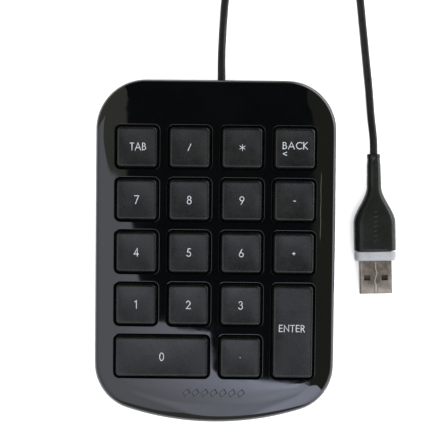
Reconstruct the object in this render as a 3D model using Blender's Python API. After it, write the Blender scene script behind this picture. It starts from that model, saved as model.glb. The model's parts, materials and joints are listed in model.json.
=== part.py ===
"""Numeric keypad: 18 keys in a wedge-shaped casing, with its coiled USB cord.

Units are metres and +Z is up. The origin is on the table under the middle of
the casing, and +Y points to the rear edge, where the cord leaves. Everything
in the casing is drawn in deck coordinates: x and y lie in the deck's plane and
z is 0 on the deck and negative below it. One tilted parent carries them all.
"""

from math import acos, cos, pi, radians, sin, sqrt

import bmesh
import bpy
from mathutils import Vector

# Casing plan
CASING_WIDTH = 0.0877
CASING_LENGTH = 0.1255
REAR_CORNER_RADIUS = 0.0184
FRONT_CORNER_RADIUS = 0.0173
FRONT_BOW_RADIUS = 0.1055
OUTLINE_CORNER_STEPS = 7
OUTLINE_BOW_STEPS = 6

# Deck position over the table
DECK_TILT = radians(3.0)
DECK_HEIGHT = 0.0172
PARTING_DEPTH = 0.0080
SLIP = 0.0003

# Casing walls
COVER_THICKNESS = 0.0015
SKIRT_THICKNESS = 0.0016
SKIRT_DRAFT = 0.00025
EDGE_ROLL = 0.0026
EDGE_CROWN = 0.0003
EDGE_CROWN_WIDTH = 0.0033
FLOOR_UNDERSIDE = 0.0010
FLOOR_THICKNESS = 0.0016
LIP_OUTSET = 0.0019
LIP_INSET = 0.0027
LIP_HEIGHT = 0.0010

# Keys
KEY_PITCH = 0.019
KEY_COLUMNS_MIDDLE = 1.5
FIRST_ROW_Y = 0.03805
KEY_SIZE = 0.015
KEY_CORNER = 0.0017
KEY_RISE = 0.0020
KEY_BEVEL = 0.00045
KEY_WALL = 0.0010
KEY_TRAVEL = 0.0020
FLANGE_REACH = 0.0010
FLANGE_THICKNESS = 0.0008
STEM_SIZE = 0.0044
STEM_CORNER = 0.0004
STEM_FOOT = -0.0062
WELL_SIZE = 0.0159
WELL_CORNER = 0.0021
WELL_CHAMFER = 0.00035
CORNER_STEPS = 2

# Sheets under the keys
SHEET_HALF_WIDTH = 0.0390
SHEET_FRONT = -0.0479
SHEET_REAR = 0.0481
SHEET_CORNER = 0.0025
GUIDE_TOP = -0.0049
GUIDE_THICKNESS = 0.0010
GUIDE_RIM = 0.0012
GUIDE_RIM_FOOT = -0.0089
SLEEVE_BORE = 0.0050
SLEEVE_SIZE = 0.0069
SLEEVE_TOP = -0.0015
MEMBRANE_TOP = -0.0092
MEMBRANE_THICKNESS = 0.0002
MEMBRANE_GAP = 0.0001
MEMBRANE_MARGIN = 0.0006
CONTACT_RADIUS = 0.0026
TAIL_WIDTH = 0.012
TAIL_LENGTH = 0.006
PLATE_TOP = -0.0101
PLATE_THICKNESS = 0.0008
PLATE_HOLE_RADIUS = 0.0012

# Rubber domes, as (radius, height over the dome's foot)
DOME_FOOT = -0.0091
DOME_STEPS = 10
DOME_PROFILE = (
    (0.0009, 0.0009),
    (0.0013, 0.0017),
    (0.0030, 0.0004),
    (0.0032, 0.0),
    (0.00425, 0.0),
    (0.00425, 0.0004),
    (0.0036, 0.0006),
    (0.0023, 0.0019),
    (0.0022, 0.0026),
)

# Stabiliser bars
WIRE_RADIUS = 0.0005
WIRE_STEPS = 8
WIRE_PIVOT_DEPTH = -0.0033
WIRE_PIVOT_OFFSET = -0.0046
WIRE_ARM = 0.0075
WIRE_RISE = 0.0010
WIRE_REACH = 0.0125
WIRE_HOOK = 0.0022
WIRE_SLOT = 0.0016
SADDLE_REACH = 0.0085
SADDLE_WIDTH = 0.0020
SADDLE_HALF_LENGTH = 0.0014
SADDLE_TOP = -0.0024
CLIP_REACH = 0.0140
CLIP_THICKNESS = 0.0014
CLIP_WIDTH = 0.0030
CLIP_CHIN = 0.0014
CLIP_WINDOW_MARGIN = 0.0004

# Controller board
BOARD_WIDTH = 0.052
BOARD_LENGTH = 0.021
BOARD_THICKNESS = 0.0012
BOARD_MIDDLE_Y = 0.033
BOARD_UNDERSIDE = 0.0043
CHIP_SIZE = 0.009
CHIP_THICKNESS = 0.0010

# Casing screws, as deck positions
SCREW_SPOTS = {
    "front_left": (-0.020, -0.053),
    "front_right": (0.020, -0.053),
    "rear_left": (-0.028, 0.054),
    "rear_right": (0.028, 0.054),
}
ROUND_STEPS = 12
SCREW_RADIUS = 0.0012
SCREW_HEAD_RADIUS = 0.0024
SCREW_HEAD_TOP = -0.0116
SCREW_HEAD_HEIGHT = 0.0014
SCREW_TIP = -0.0046
SCREW_CROSS = 0.0028
SCREW_CROSS_SLOT = 0.0006
SCREW_CROSS_DEPTH = 0.0008
UPPER_BOSS_RADIUS = 0.0030
LOWER_BOSS_RADIUS = 0.0037
BOSS_MEETING_DEPTH = -0.0084
BOSS_SEAT = -0.0113

# Feet, as (name, middle y, length along x) on the table
FEET = (("front", -0.0465, 0.050), ("rear", 0.0455, 0.058))
FOOT_WIDTH = 0.005
FOOT_HEIGHT = 0.0012
FOOT_RECESS = 0.0005

# Floor ribs that carry the back plate, as (x, rear end y)
RIBS = ((-0.035, 0.044), (-0.012, 0.018), (0.012, 0.018), (0.035, 0.044))
RIB_FRONT = -0.046
RIB_THICKNESS = 0.0016

# Cord
CORD_DIAMETER = 0.0029
CORD_POINT_SPACING = 0.004
CORD_EXIT_X = 0.0017
CORD_EXIT_Z = 0.0085
CORD_HOLE_RADIUS = 0.00175
LEAD_ROUTE = (
    (0.0017, 0.0550, 0.0085),
    (0.0017, 0.0620, 0.0085),
    (0.0016, 0.0700, 0.0079),
    (0.0018, 0.0780, 0.0050),
    (0.0022, 0.0860, 0.0022),
    (0.0028, 0.0940, 0.00145),
    (0.0042, 0.1025, 0.00145),
    (0.0056, 0.1105, 0.00145),
)
TAIL_ROUTE = (
    (0.0479, 0.1199, 0.0020),
    (0.0502, 0.1115, 0.0015),
    (0.0520, 0.1025, 0.00145),
    (0.0530, 0.0935, 0.00145),
    (0.0542, 0.0823, 0.00145),
    (0.0554, 0.0712, 0.00145),
    (0.0566, 0.0600, 0.00145),
    (0.0575, 0.0500, 0.0021),
    (0.0582, 0.0420, 0.0036),
    (0.0583, 0.0365, 0.0040),
    (0.05844, 0.0310, 0.0040),
)
COIL_CENTRE = (0.0250, 0.1230)
COIL_MEAN_RADIUS = 0.0165
COIL_STEPS = 32
COIL_TURNS_ACROSS = 3
COIL_LAYERS = 2

# Plug, with distances measured from the neck's end towards the tip
PLUG_NECK_END = (0.0583, 0.0365, 0.0040)
PLUG_SWING = radians(1.42)
PLUG_SECTION_STEPS = 4
NECK_RADIUS = 0.0025
NECK_LENGTH = 0.0120
NECK_SOCKET_DEPTH = 0.0060
FLARE_END = 0.0256
OVERMOULD_END = 0.0359
OVERMOULD_HALF_WIDTH = 0.0078
OVERMOULD_HALF_HEIGHT = 0.0040
COLLAR_START = 0.0362
COLLAR_END = 0.0396
SHELL_START = 0.0326
SHELL_END = 0.0517
SHELL_HALF_WIDTH = 0.0060
SHELL_HALF_HEIGHT = 0.00225
SHELL_CORNER = 0.0006
SHELL_SHEET = 0.0003
WINDOW_WIDTH = 0.0023
WINDOW_LENGTH = 0.0020
WINDOW_OFFSET = 0.0032
WINDOW_FROM_TIP = 0.0059
TONGUE_START = 0.0330
TONGUE_END = 0.0506
TONGUE_HALF_WIDTH = 0.0054
TONGUE_UNDERSIDE = -0.00165
TONGUE_TOP = 0.00020

# Keys as (name, column, row, columns wide, rows deep)
KEYS = (
    ("tab", 0, 0, 1, 1),
    ("divide", 1, 0, 1, 1),
    ("multiply", 2, 0, 1, 1),
    ("back", 3, 0, 1, 1),
    ("7", 0, 1, 1, 1),
    ("8", 1, 1, 1, 1),
    ("9", 2, 1, 1, 1),
    ("minus", 3, 1, 1, 1),
    ("4", 0, 2, 1, 1),
    ("5", 1, 2, 1, 1),
    ("6", 2, 2, 1, 1),
    ("plus", 3, 2, 1, 1),
    ("1", 0, 3, 1, 1),
    ("2", 1, 3, 1, 1),
    ("3", 2, 3, 1, 1),
    ("enter", 3, 3.5, 1, 2),
    ("0", 0.5, 4, 2, 1),
    ("decimal", 2, 4, 1, 1),
)

# Materials as (colour, roughness, metallic)
GLOSS_BLACK = ((0.012, 0.012, 0.013, 1.0), 0.18, 0.0)
MATTE_BLACK = ((0.020, 0.020, 0.021, 1.0), 0.55, 0.0)
KEY_CHARCOAL = ((0.030, 0.030, 0.032, 1.0), 0.50, 0.0)
GUIDE_GREY = ((0.050, 0.050, 0.050, 1.0), 0.60, 0.0)
DOME_RUBBER = ((0.75, 0.75, 0.72, 1.0), 0.70, 0.0)
CLEAR_FILM = ((0.60, 0.65, 0.62, 1.0), 0.35, 0.0)
SPRING_STEEL = ((0.55, 0.55, 0.56, 1.0), 0.30, 1.0)
BOARD_GREEN = ((0.02, 0.16, 0.05, 1.0), 0.45, 0.0)
CHIP_BLACK = ((0.015, 0.015, 0.015, 1.0), 0.60, 0.0)
FOOT_RUBBER = ((0.030, 0.030, 0.030, 1.0), 0.85, 0.0)
CORD_GREY = ((0.045, 0.045, 0.048, 1.0), 0.40, 0.0)
PLUG_BLACK = ((0.020, 0.020, 0.022, 1.0), 0.45, 0.0)
COLLAR_GREY = ((0.45, 0.45, 0.45, 1.0), 0.45, 0.0)
NICKEL = ((0.60, 0.57, 0.52, 1.0), 0.30, 1.0)
TONGUE_WHITE = ((0.70, 0.70, 0.68, 1.0), 0.50, 0.0)


def clear_scene():
    for obj in list(bpy.data.objects):
        bpy.data.objects.remove(obj, do_unlink=True)


def add_loft(bm, rings, ring_of_rings=False):
    """Skin equal rings of points. The ends are capped unless they meet each other."""
    made = []
    for ring in rings:
        made.append([bm.verts.new(point) for point in ring])
    count = len(made[0])
    bands = list(zip(made, made[1:]))
    if ring_of_rings:
        bands.append((made[-1], made[0]))
    else:
        bm.faces.new(made[0])
        bm.faces.new(made[-1])
    for lower, upper in bands:
        for i in range(count):
            j = (i + 1) % count
            bm.faces.new((lower[i], lower[j], upper[j], upper[i]))


def mesh_of(name, lofts, ring_of_rings=False):
    bm = bmesh.new()
    for rings in lofts:
        add_loft(bm, rings, ring_of_rings)
    bmesh.ops.recalc_face_normals(bm, faces=bm.faces)
    mesh = bpy.data.meshes.new(name)
    bm.to_mesh(mesh)
    bm.free()
    return mesh


def place(obj, parent, position):
    bpy.context.scene.collection.objects.link(obj)
    obj.parent = parent
    obj.location = position


def make_part(name, mesh, look, parent=None, position=(0.0, 0.0, 0.0)):
    obj = bpy.data.objects.new(name, mesh)
    place(obj, parent, position)
    give_material(obj, look)
    return obj


def make_helper(name, mesh, parent=None):
    obj = bpy.data.objects.new(name, mesh)
    place(obj, parent, (0.0, 0.0, 0.0))
    obj.hide_render = True
    obj.display_type = "WIRE"
    return obj


def make_empty(name, position, tilt_x=0.0, swing_z=0.0):
    obj = bpy.data.objects.new(name, None)
    place(obj, None, position)
    obj.rotation_euler = (tilt_x, 0.0, swing_z)
    return obj


def give_material(obj, look):
    colour, roughness, metallic = look
    material = bpy.data.materials.new(obj.name)
    material.use_nodes = True
    shader = material.node_tree.nodes["Principled BSDF"]
    shader.inputs["Base Color"].default_value = colour
    shader.inputs["Roughness"].default_value = roughness
    shader.inputs["Metallic"].default_value = metallic
    obj.data.materials.append(material)


def boolean(target, other, operation):
    modifier = target.modifiers.new(other.name, "BOOLEAN")
    modifier.object = other
    modifier.operation = operation
    modifier.solver = "EXACT"


def corner_arc(centre, radius, start, end, steps):
    points = []
    for i in range(steps + 1):
        angle = start + (end - start) * i / steps
        points.append((centre[0] + radius * cos(angle), centre[1] + radius * sin(angle)))
    return points


def rounded_rectangle(half_width, half_length, radius, steps=CORNER_STEPS, middle=(0.0, 0.0)):
    points = []
    reach_x = half_width - radius
    reach_y = half_length - radius
    signs = ((1, 1), (-1, 1), (-1, -1), (1, -1))
    for quarter, (sign_x, sign_y) in enumerate(signs):
        centre = (middle[0] + sign_x * reach_x, middle[1] + sign_y * reach_y)
        start = quarter * pi / 2
        points += corner_arc(centre, radius, start, start + pi / 2, steps)
    return points


def circle(radius, steps, middle=(0.0, 0.0)):
    return corner_arc(middle, radius, 0.0, 2 * pi * (steps - 1) / steps, steps - 1)


def at_depth(points, z):
    return [(x, y, z) for x, y in points]


def prism(points, bottom, top):
    return [at_depth(points, bottom), at_depth(points, top)]


def block(x_range, y_range, z_range):
    """A box as a loft, from its lower to its upper rectangle."""
    x0, x1 = x_range
    y0, y1 = y_range
    return prism([(x0, y0), (x1, y0), (x1, y1), (x0, y1)], z_range[0], z_range[1])


def casing_outline(inset):
    """The casing's plan: straight sides and rear edge, and a bowed front edge."""
    half_width = CASING_WIDTH / 2
    rear = CASING_LENGTH / 2
    rear_x = half_width - REAR_CORNER_RADIUS
    rear_y = rear - REAR_CORNER_RADIUS
    front_x = half_width - FRONT_CORNER_RADIUS
    bow_y = FRONT_BOW_RADIUS - rear
    centres_apart = FRONT_BOW_RADIUS - FRONT_CORNER_RADIUS
    front_y = bow_y - sqrt(centres_apart ** 2 - front_x ** 2)
    bow_half_angle = acos((bow_y - front_y) / centres_apart)
    rear_radius = REAR_CORNER_RADIUS - inset
    front_radius = FRONT_CORNER_RADIUS - inset
    bow_radius = FRONT_BOW_RADIUS - inset
    steps = OUTLINE_CORNER_STEPS
    bow_start = -pi / 2 - bow_half_angle
    bow_end = -pi / 2 + bow_half_angle
    points = corner_arc((rear_x, rear_y), rear_radius, 0.0, pi / 2, steps)
    points += corner_arc((-rear_x, rear_y), rear_radius, pi / 2, pi, steps)
    points += corner_arc((-front_x, front_y), front_radius, pi, 2 * pi + bow_start, steps)
    bow = corner_arc((0.0, bow_y), bow_radius, bow_start, bow_end, OUTLINE_BOW_STEPS)
    points += bow[1:-1]
    points += corner_arc((front_x, front_y), front_radius, bow_end, 0.0, steps)
    return points


def depth_over_table(y, height):
    """The deck z of the point at deck y that stands height over the table."""
    return (height - DECK_HEIGHT - y * sin(DECK_TILT)) / cos(DECK_TILT)


def level_ring(inset, height):
    """The casing outline where it meets the level plane at this height."""
    return [(x, y, depth_over_table(y, height)) for x, y in casing_outline(inset)]


def key_centre(column, row):
    return (column - KEY_COLUMNS_MIDDLE) * KEY_PITCH, FIRST_ROW_Y - row * KEY_PITCH


def key_half_sizes(columns, rows, single=KEY_SIZE):
    half_width = (single + (columns - 1) * KEY_PITCH) / 2
    half_length = (single + (rows - 1) * KEY_PITCH) / 2
    return half_width, half_length


def upper_casing_rings():
    """Rings of the top cover: ceiling, inside wall, rim, outside wall, roll and deck."""
    rings = [
        at_depth(casing_outline(SKIRT_THICKNESS + 0.0022), -COVER_THICKNESS),
        at_depth(casing_outline(SKIRT_THICKNESS), -COVER_THICKNESS - 0.0022),
        at_depth(casing_outline(SKIRT_THICKNESS), -PARTING_DEPTH),
        at_depth(casing_outline(0.0), -PARTING_DEPTH),
    ]
    roll_foot = -EDGE_CROWN - EDGE_ROLL
    for i in range(5):
        angle = pi / 2 * i / 4
        inset = SKIRT_DRAFT + EDGE_ROLL * (1 - cos(angle))
        rings.append(at_depth(casing_outline(inset), roll_foot + EDGE_ROLL * sin(angle)))
    roll_end = SKIRT_DRAFT + EDGE_ROLL
    rings.append(at_depth(casing_outline(roll_end + EDGE_CROWN_WIDTH / 2), -EDGE_CROWN / 4))
    rings.append(at_depth(casing_outline(roll_end + EDGE_CROWN_WIDTH), 0.0))
    return rings


def well_cutters():
    """One flared plug per key: the well, with a chamfer where it meets the deck."""
    cutters = []
    for _, column, row, columns, rows in KEYS:
        half_x, half_y = key_half_sizes(columns, rows, WELL_SIZE)
        middle = key_centre(column, row)
        straight = rounded_rectangle(half_x, half_y, WELL_CORNER, middle=middle)
        spread = 3 * WELL_CHAMFER
        flared = rounded_rectangle(half_x + spread, half_y + spread, WELL_CORNER + spread, middle=middle)
        cutters.append(
            [
                at_depth(straight, -PARTING_DEPTH),
                at_depth(straight, -WELL_CHAMFER),
                at_depth(flared, 2 * WELL_CHAMFER),
            ]
        )
    return cutters


def upright_cylinders(radius, bottom, top):
    """One cylinder at each casing screw."""
    spots = SCREW_SPOTS.values()
    return [prism(circle(radius, ROUND_STEPS, spot), bottom, top) for spot in spots]


def make_top_cover(deck):
    cover = make_part("top_cover", mesh_of("top_cover", [upper_casing_rings()]), GLOSS_BLACK, deck)
    wells = make_helper("well_cutter", mesh_of("well_cutter", well_cutters()), deck)
    boolean(cover, wells, "DIFFERENCE")
    bosses = upright_cylinders(UPPER_BOSS_RADIUS, BOSS_MEETING_DEPTH, -COVER_THICKNESS / 2)
    boolean(cover, make_helper("upper_boss", mesh_of("upper_boss", bosses), deck), "UNION")
    holes = upright_cylinders(SCREW_RADIUS + SLIP, -2 * PARTING_DEPTH, SCREW_TIP + SLIP)
    boolean(cover, make_helper("upper_hole", mesh_of("upper_hole", holes), deck), "DIFFERENCE")


def lower_casing_rings():
    """Rings of the tray: floor, inside wall, lip, parting edge, outside wall and underside."""
    lip_top = LIP_HEIGHT - PARTING_DEPTH
    floor_top = FLOOR_UNDERSIDE + FLOOR_THICKNESS
    return [
        level_ring(LIP_INSET + 0.0008, floor_top),
        level_ring(LIP_INSET, floor_top + 0.0008),
        at_depth(casing_outline(LIP_INSET), lip_top),
        at_depth(casing_outline(LIP_OUTSET), lip_top),
        at_depth(casing_outline(LIP_OUTSET), -PARTING_DEPTH - SLIP),
        at_depth(casing_outline(0.0), -PARTING_DEPTH - SLIP),
        level_ring(0.0006, FLOOR_UNDERSIDE + 0.0024),
        level_ring(0.0011, FLOOR_UNDERSIDE + 0.0010),
        level_ring(0.0024, FLOOR_UNDERSIDE),
    ]


def rib_lofts():
    """Ribs from inside the floor to just under the back plate."""
    lofts = []
    rib_top = PLATE_TOP - PLATE_THICKNESS - SLIP
    for x, rear_end in RIBS:
        sides = ((x - RIB_THICKNESS / 2, RIB_FRONT), (x + RIB_THICKNESS / 2, RIB_FRONT))
        sides += ((x + RIB_THICKNESS / 2, rear_end), (x - RIB_THICKNESS / 2, rear_end))
        foot = [(a, b, depth_over_table(b, FLOOR_UNDERSIDE + FLOOR_THICKNESS / 2)) for a, b in sides]
        lofts.append([foot, at_depth(sides, rib_top)])
    return lofts


def board_post_lofts():
    """Four short posts from inside the floor to just under the controller board."""
    lofts = []
    for sign_x in (-1, 1):
        for sign_y in (-1, 1):
            x = sign_x * (BOARD_WIDTH / 2 - 0.003)
            y = BOARD_MIDDLE_Y + sign_y * (BOARD_LENGTH / 2 - 0.003)
            plan = circle(0.0016, 10, (x, y))
            foot = [(a, b, depth_over_table(b, FLOOR_UNDERSIDE + FLOOR_THICKNESS / 2)) for a, b in plan]
            head = [(a, b, depth_over_table(b, BOARD_UNDERSIDE - SLIP)) for a, b in plan]
            lofts.append([foot, head])
    return lofts


def lower_boss_lofts():
    """Screw bosses from inside the floor up to the top cover's bosses."""
    lofts = []
    for spot in SCREW_SPOTS.values():
        plan = circle(LOWER_BOSS_RADIUS, ROUND_STEPS, spot)
        foot = [(a, b, depth_over_table(b, FLOOR_UNDERSIDE + FLOOR_THICKNESS / 2)) for a, b in plan]
        lofts.append([foot, at_depth(plan, BOSS_MEETING_DEPTH - SLIP)])
    return lofts


def foot_plan(length, half_width, middle_y):
    return rounded_rectangle(length / 2, half_width, half_width * 0.9, 4, (0.0, middle_y))


def make_bottom_cover(deck):
    tray = make_part("bottom_cover", mesh_of("bottom_cover", [lower_casing_rings()]), MATTE_BLACK, deck)
    inside = rib_lofts() + board_post_lofts() + lower_boss_lofts()
    boolean(tray, make_helper("tray_inside", mesh_of("tray_inside", inside), deck), "UNION")
    below = -2 * DECK_HEIGHT
    bores = upright_cylinders(SCREW_RADIUS + SLIP, below, 0.0)
    boolean(tray, make_helper("screw_bore", mesh_of("screw_bore", bores), deck), "DIFFERENCE")
    seats = upright_cylinders(SCREW_HEAD_RADIUS + SLIP + 0.0001, below, BOSS_SEAT)
    boolean(tray, make_helper("screw_seat", mesh_of("screw_seat", seats), deck), "DIFFERENCE")
    recesses = []
    for _, middle_y, length in FEET:
        plan = foot_plan(length + 2 * SLIP, FOOT_WIDTH / 2 + SLIP, middle_y)
        recesses.append(prism(plan, -0.001, FLOOR_UNDERSIDE + FOOT_RECESS))
    boolean(tray, make_helper("foot_recess", mesh_of("foot_recess", recesses)), "DIFFERENCE")
    exit_hole = []
    for y in (CASING_LENGTH / 2 - 0.006, CASING_LENGTH / 2 + 0.006):
        across = circle(CORD_HOLE_RADIUS, ROUND_STEPS, (CORD_EXIT_X, CORD_EXIT_Z))
        exit_hole.append([(x, y, z) for x, z in across])
    boolean(tray, make_helper("cord_exit", mesh_of("cord_exit", [exit_hole])), "DIFFERENCE")


def make_feet():
    for name, middle_y, length in FEET:
        plan = foot_plan(length, FOOT_WIDTH / 2, middle_y)
        mesh = mesh_of("foot_" + name, [prism(plan, 0.0, FOOT_HEIGHT)])
        make_part("foot_" + name, mesh, FOOT_RUBBER)


def keycap_rings(columns, rows):
    """One path of rings: stem, ceiling, inside wall, flange, outside wall and top face."""
    half_x, half_y = key_half_sizes(columns, rows)
    flange_top = -COVER_THICKNESS - SLIP
    flange_foot = flange_top - FLANGE_THICKNESS
    ceiling = KEY_RISE - KEY_WALL

    def ring(inset, z):
        corner = max(KEY_CORNER - inset, 0.0006)
        return at_depth(rounded_rectangle(half_x - inset, half_y - inset, corner), z)

    stem = rounded_rectangle(STEM_SIZE / 2, STEM_SIZE / 2, STEM_CORNER)
    return [
        at_depth(stem, STEM_FOOT),
        at_depth(stem, ceiling),
        ring(KEY_WALL, ceiling),
        ring(KEY_WALL, flange_foot),
        ring(-FLANGE_REACH, flange_foot),
        ring(-FLANGE_REACH, flange_top),
        ring(0.0, flange_top),
        ring(0.0, KEY_RISE - KEY_BEVEL),
        ring(KEY_BEVEL, KEY_RISE),
    ]


def along(long_axis, x_range, y_range, z_range):
    """A box for a key that is long in x, or the same box turned for one long in y."""
    if long_axis == "x":
        return block(x_range, y_range, z_range)
    return block(y_range, x_range, z_range)


def wire_clip_lofts(long_axis):
    """Two posts under a long keycap, the slots that the bar's hooks run through, and their windows."""
    posts = []
    slots = []
    windows = []
    y = WIRE_PIVOT_OFFSET + WIRE_ARM
    z = WIRE_PIVOT_DEPTH + WIRE_RISE
    half_slot = WIRE_SLOT / 2
    half_post = CLIP_THICKNESS / 2
    half_window = half_post + CLIP_WINDOW_MARGIN
    side = CLIP_WIDTH / 2
    window_side = side + CLIP_WINDOW_MARGIN
    for sign in (-1, 1):
        x = sign * CLIP_REACH
        post_x = (x - half_post, x + half_post)
        post_z = (z - CLIP_CHIN, KEY_RISE - KEY_WALL / 2)
        posts.append(along(long_axis, post_x, (y - side, y + side), post_z))
        slot_x = (x - CLIP_THICKNESS, x + CLIP_THICKNESS)
        slot_y = (y - half_slot, y + half_slot)
        slots.append(along(long_axis, slot_x, slot_y, (z - half_slot, z + half_slot)))
        window_x = (x - half_window, x + half_window)
        window_y = (y - window_side, y + window_side)
        windows.append(along(long_axis, window_x, window_y, (GUIDE_RIM_FOOT, GUIDE_TOP + 0.0005)))
    return posts, slots, windows


def long_axis_of(columns, rows):
    if columns > 1:
        return "x"
    if rows > 1:
        return "y"
    return None


def make_keycaps(deck):
    for name, column, row, columns, rows in KEYS:
        x, y = key_centre(column, row)
        mesh = mesh_of("key_" + name, [keycap_rings(columns, rows)])
        cap = make_part("key_" + name, mesh, KEY_CHARCOAL, deck, (x, y, 0.0))
        long_axis = long_axis_of(columns, rows)
        if long_axis is None:
            continue
        posts, slots, _ = wire_clip_lofts(long_axis)
        post = make_helper("clip_post_" + name, mesh_of("clip_post", posts), deck)
        slot = make_helper("clip_slot_" + name, mesh_of("clip_slot", slots), deck)
        post.location = (x, y, 0.0)
        slot.location = (x, y, 0.0)
        boolean(cap, post, "UNION")
        boolean(cap, slot, "DIFFERENCE")


def dome_spots():
    return [(name,) + key_centre(column, row) for name, column, row, _, _ in KEYS]


def make_domes(deck):
    rings = []
    for radius, height in DOME_PROFILE:
        rings.append(at_depth(circle(radius, DOME_STEPS), height))
    for name, x, y in dome_spots():
        mesh = mesh_of("dome_" + name, [rings])
        make_part("dome_" + name, mesh, DOME_RUBBER, deck, (x, y, DOME_FOOT))


def sheet_plan(inset):
    half_length = (SHEET_REAR - SHEET_FRONT) / 2
    middle = (0.0, (SHEET_REAR + SHEET_FRONT) / 2)
    return rounded_rectangle(SHEET_HALF_WIDTH - inset, half_length - inset, SHEET_CORNER, middle=middle)


def saddle_lofts():
    """Two blocks per stabiliser bar on the guide frame, with the bores for the bar and the clips."""
    blocks = []
    bores = []
    half_slot = WIRE_SLOT / 2
    for _, column, row, columns, rows in KEYS:
        long_axis = long_axis_of(columns, rows)
        if long_axis is None:
            continue
        centre_x, centre_y = key_centre(column, row)
        for sign in (-1, 1):
            reach = sign * SADDLE_REACH
            bar = WIRE_PIVOT_OFFSET
            block_range = (reach - SADDLE_WIDTH / 2, reach + SADDLE_WIDTH / 2)
            bore_range = (reach - SADDLE_WIDTH, reach + SADDLE_WIDTH)
            z_range = (WIRE_PIVOT_DEPTH - half_slot, WIRE_PIVOT_DEPTH + half_slot)
            block_sides = (bar - SADDLE_HALF_LENGTH, bar + SADDLE_HALF_LENGTH)
            body = along(long_axis, block_range, block_sides, (GUIDE_TOP - 0.0005, SADDLE_TOP))
            bore = along(long_axis, bore_range, (bar - half_slot, bar + half_slot), z_range)
            blocks.append(shifted(body, centre_x, centre_y))
            bores.append(shifted(bore, centre_x, centre_y))
        for window in wire_clip_lofts(long_axis)[2]:
            bores.append(shifted(window, centre_x, centre_y))
    return blocks, bores


def shifted(rings, x, y):
    return [[(a + x, b + y, c) for a, b, c in ring] for ring in rings]


def make_guide_frame(deck):
    rings = [
        at_depth(sheet_plan(GUIDE_RIM), GUIDE_TOP - GUIDE_THICKNESS),
        at_depth(sheet_plan(GUIDE_RIM), GUIDE_RIM_FOOT),
        at_depth(sheet_plan(0.0), GUIDE_RIM_FOOT),
        at_depth(sheet_plan(0.0), GUIDE_TOP),
    ]
    frame = make_part("key_guide_frame", mesh_of("key_guide_frame", [rings]), GUIDE_GREY, deck)
    half = SLEEVE_SIZE / 2
    bore = SLEEVE_BORE / 2
    additions = []
    bores = []
    sleeve_z = (GUIDE_TOP - 0.0005, SLEEVE_TOP)
    for _, x, y in dome_spots():
        additions.append(block((x - half, x + half), (y - half, y + half), sleeve_z))
        bores.append(block((x - bore, x + bore), (y - bore, y + bore), (GUIDE_RIM_FOOT, 0.0)))
    blocks, wire_bores = saddle_lofts()
    additions += blocks
    bores += wire_bores
    boolean(frame, make_helper("sleeve", mesh_of("sleeve", additions), deck), "UNION")
    boolean(frame, make_helper("sleeve_bore", mesh_of("sleeve_bore", bores), deck), "DIFFERENCE")


def membrane_plan():
    """The membrane's outline, with the connector tail at its rear edge."""
    side = SHEET_HALF_WIDTH - MEMBRANE_MARGIN
    front = SHEET_FRONT + MEMBRANE_MARGIN
    rear = SHEET_REAR - MEMBRANE_MARGIN
    tail = TAIL_WIDTH / 2
    tip = rear + TAIL_LENGTH
    return [
        (side, front),
        (side, rear),
        (tail, rear),
        (tail, tip),
        (-tail, tip),
        (-tail, rear),
        (-side, rear),
        (-side, front),
    ]


def make_membranes(deck):
    top = MEMBRANE_TOP
    for layer in ("upper", "spacer", "lower"):
        name = "membrane_" + layer
        mesh = mesh_of(name, [prism(membrane_plan(), top - MEMBRANE_THICKNESS, top)])
        sheet = make_part(name, mesh, CLEAR_FILM, deck)
        if layer == "spacer":
            holes = []
            for _, x, y in dome_spots():
                plan = circle(CONTACT_RADIUS, DOME_STEPS, (x, y))
                holes.append(prism(plan, top - 0.001, top + 0.001))
            boolean(sheet, make_helper("contact_hole", mesh_of("contact_hole", holes), deck), "DIFFERENCE")
        top -= MEMBRANE_THICKNESS + MEMBRANE_GAP


def make_back_plate(deck):
    mesh = mesh_of("back_plate", [prism(sheet_plan(0.0), PLATE_TOP - PLATE_THICKNESS, PLATE_TOP)])
    plate = make_part("back_plate", mesh, SPRING_STEEL, deck)
    holes = []
    for column in range(3):
        for row in (0.5, 2.5):
            x, y = key_centre(column + 0.5, row)
            plan = circle(PLATE_HOLE_RADIUS, DOME_STEPS, (x, y))
            holes.append(prism(plan, PLATE_TOP - 0.002, PLATE_TOP + 0.001))
    boolean(plate, make_helper("plate_hole", mesh_of("plate_hole", holes), deck), "DIFFERENCE")


def tube_rings(path, radius, steps, plane_normal):
    """Rings round a path that bends in one plane, mitred at its bends."""
    rings = []
    for i, point in enumerate(path):
        before = path[max(i - 1, 0)]
        after = path[min(i + 1, len(path) - 1)]
        incoming = (point - before).normalized()
        outgoing = (after - point).normalized()
        heading = (incoming + outgoing).normalized()
        flat_side = heading.cross(plane_normal).normalized()
        stretch = 1.0
        if 0 < i < len(path) - 1:
            stretch = 1.0 / max(heading.dot(outgoing), 0.7)
        ring = []
        for k in range(steps):
            angle = 2 * pi * k / steps
            ring.append(point + radius * (stretch * cos(angle) * flat_side + sin(angle) * plane_normal))
        rings.append(ring)
    return rings


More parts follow.
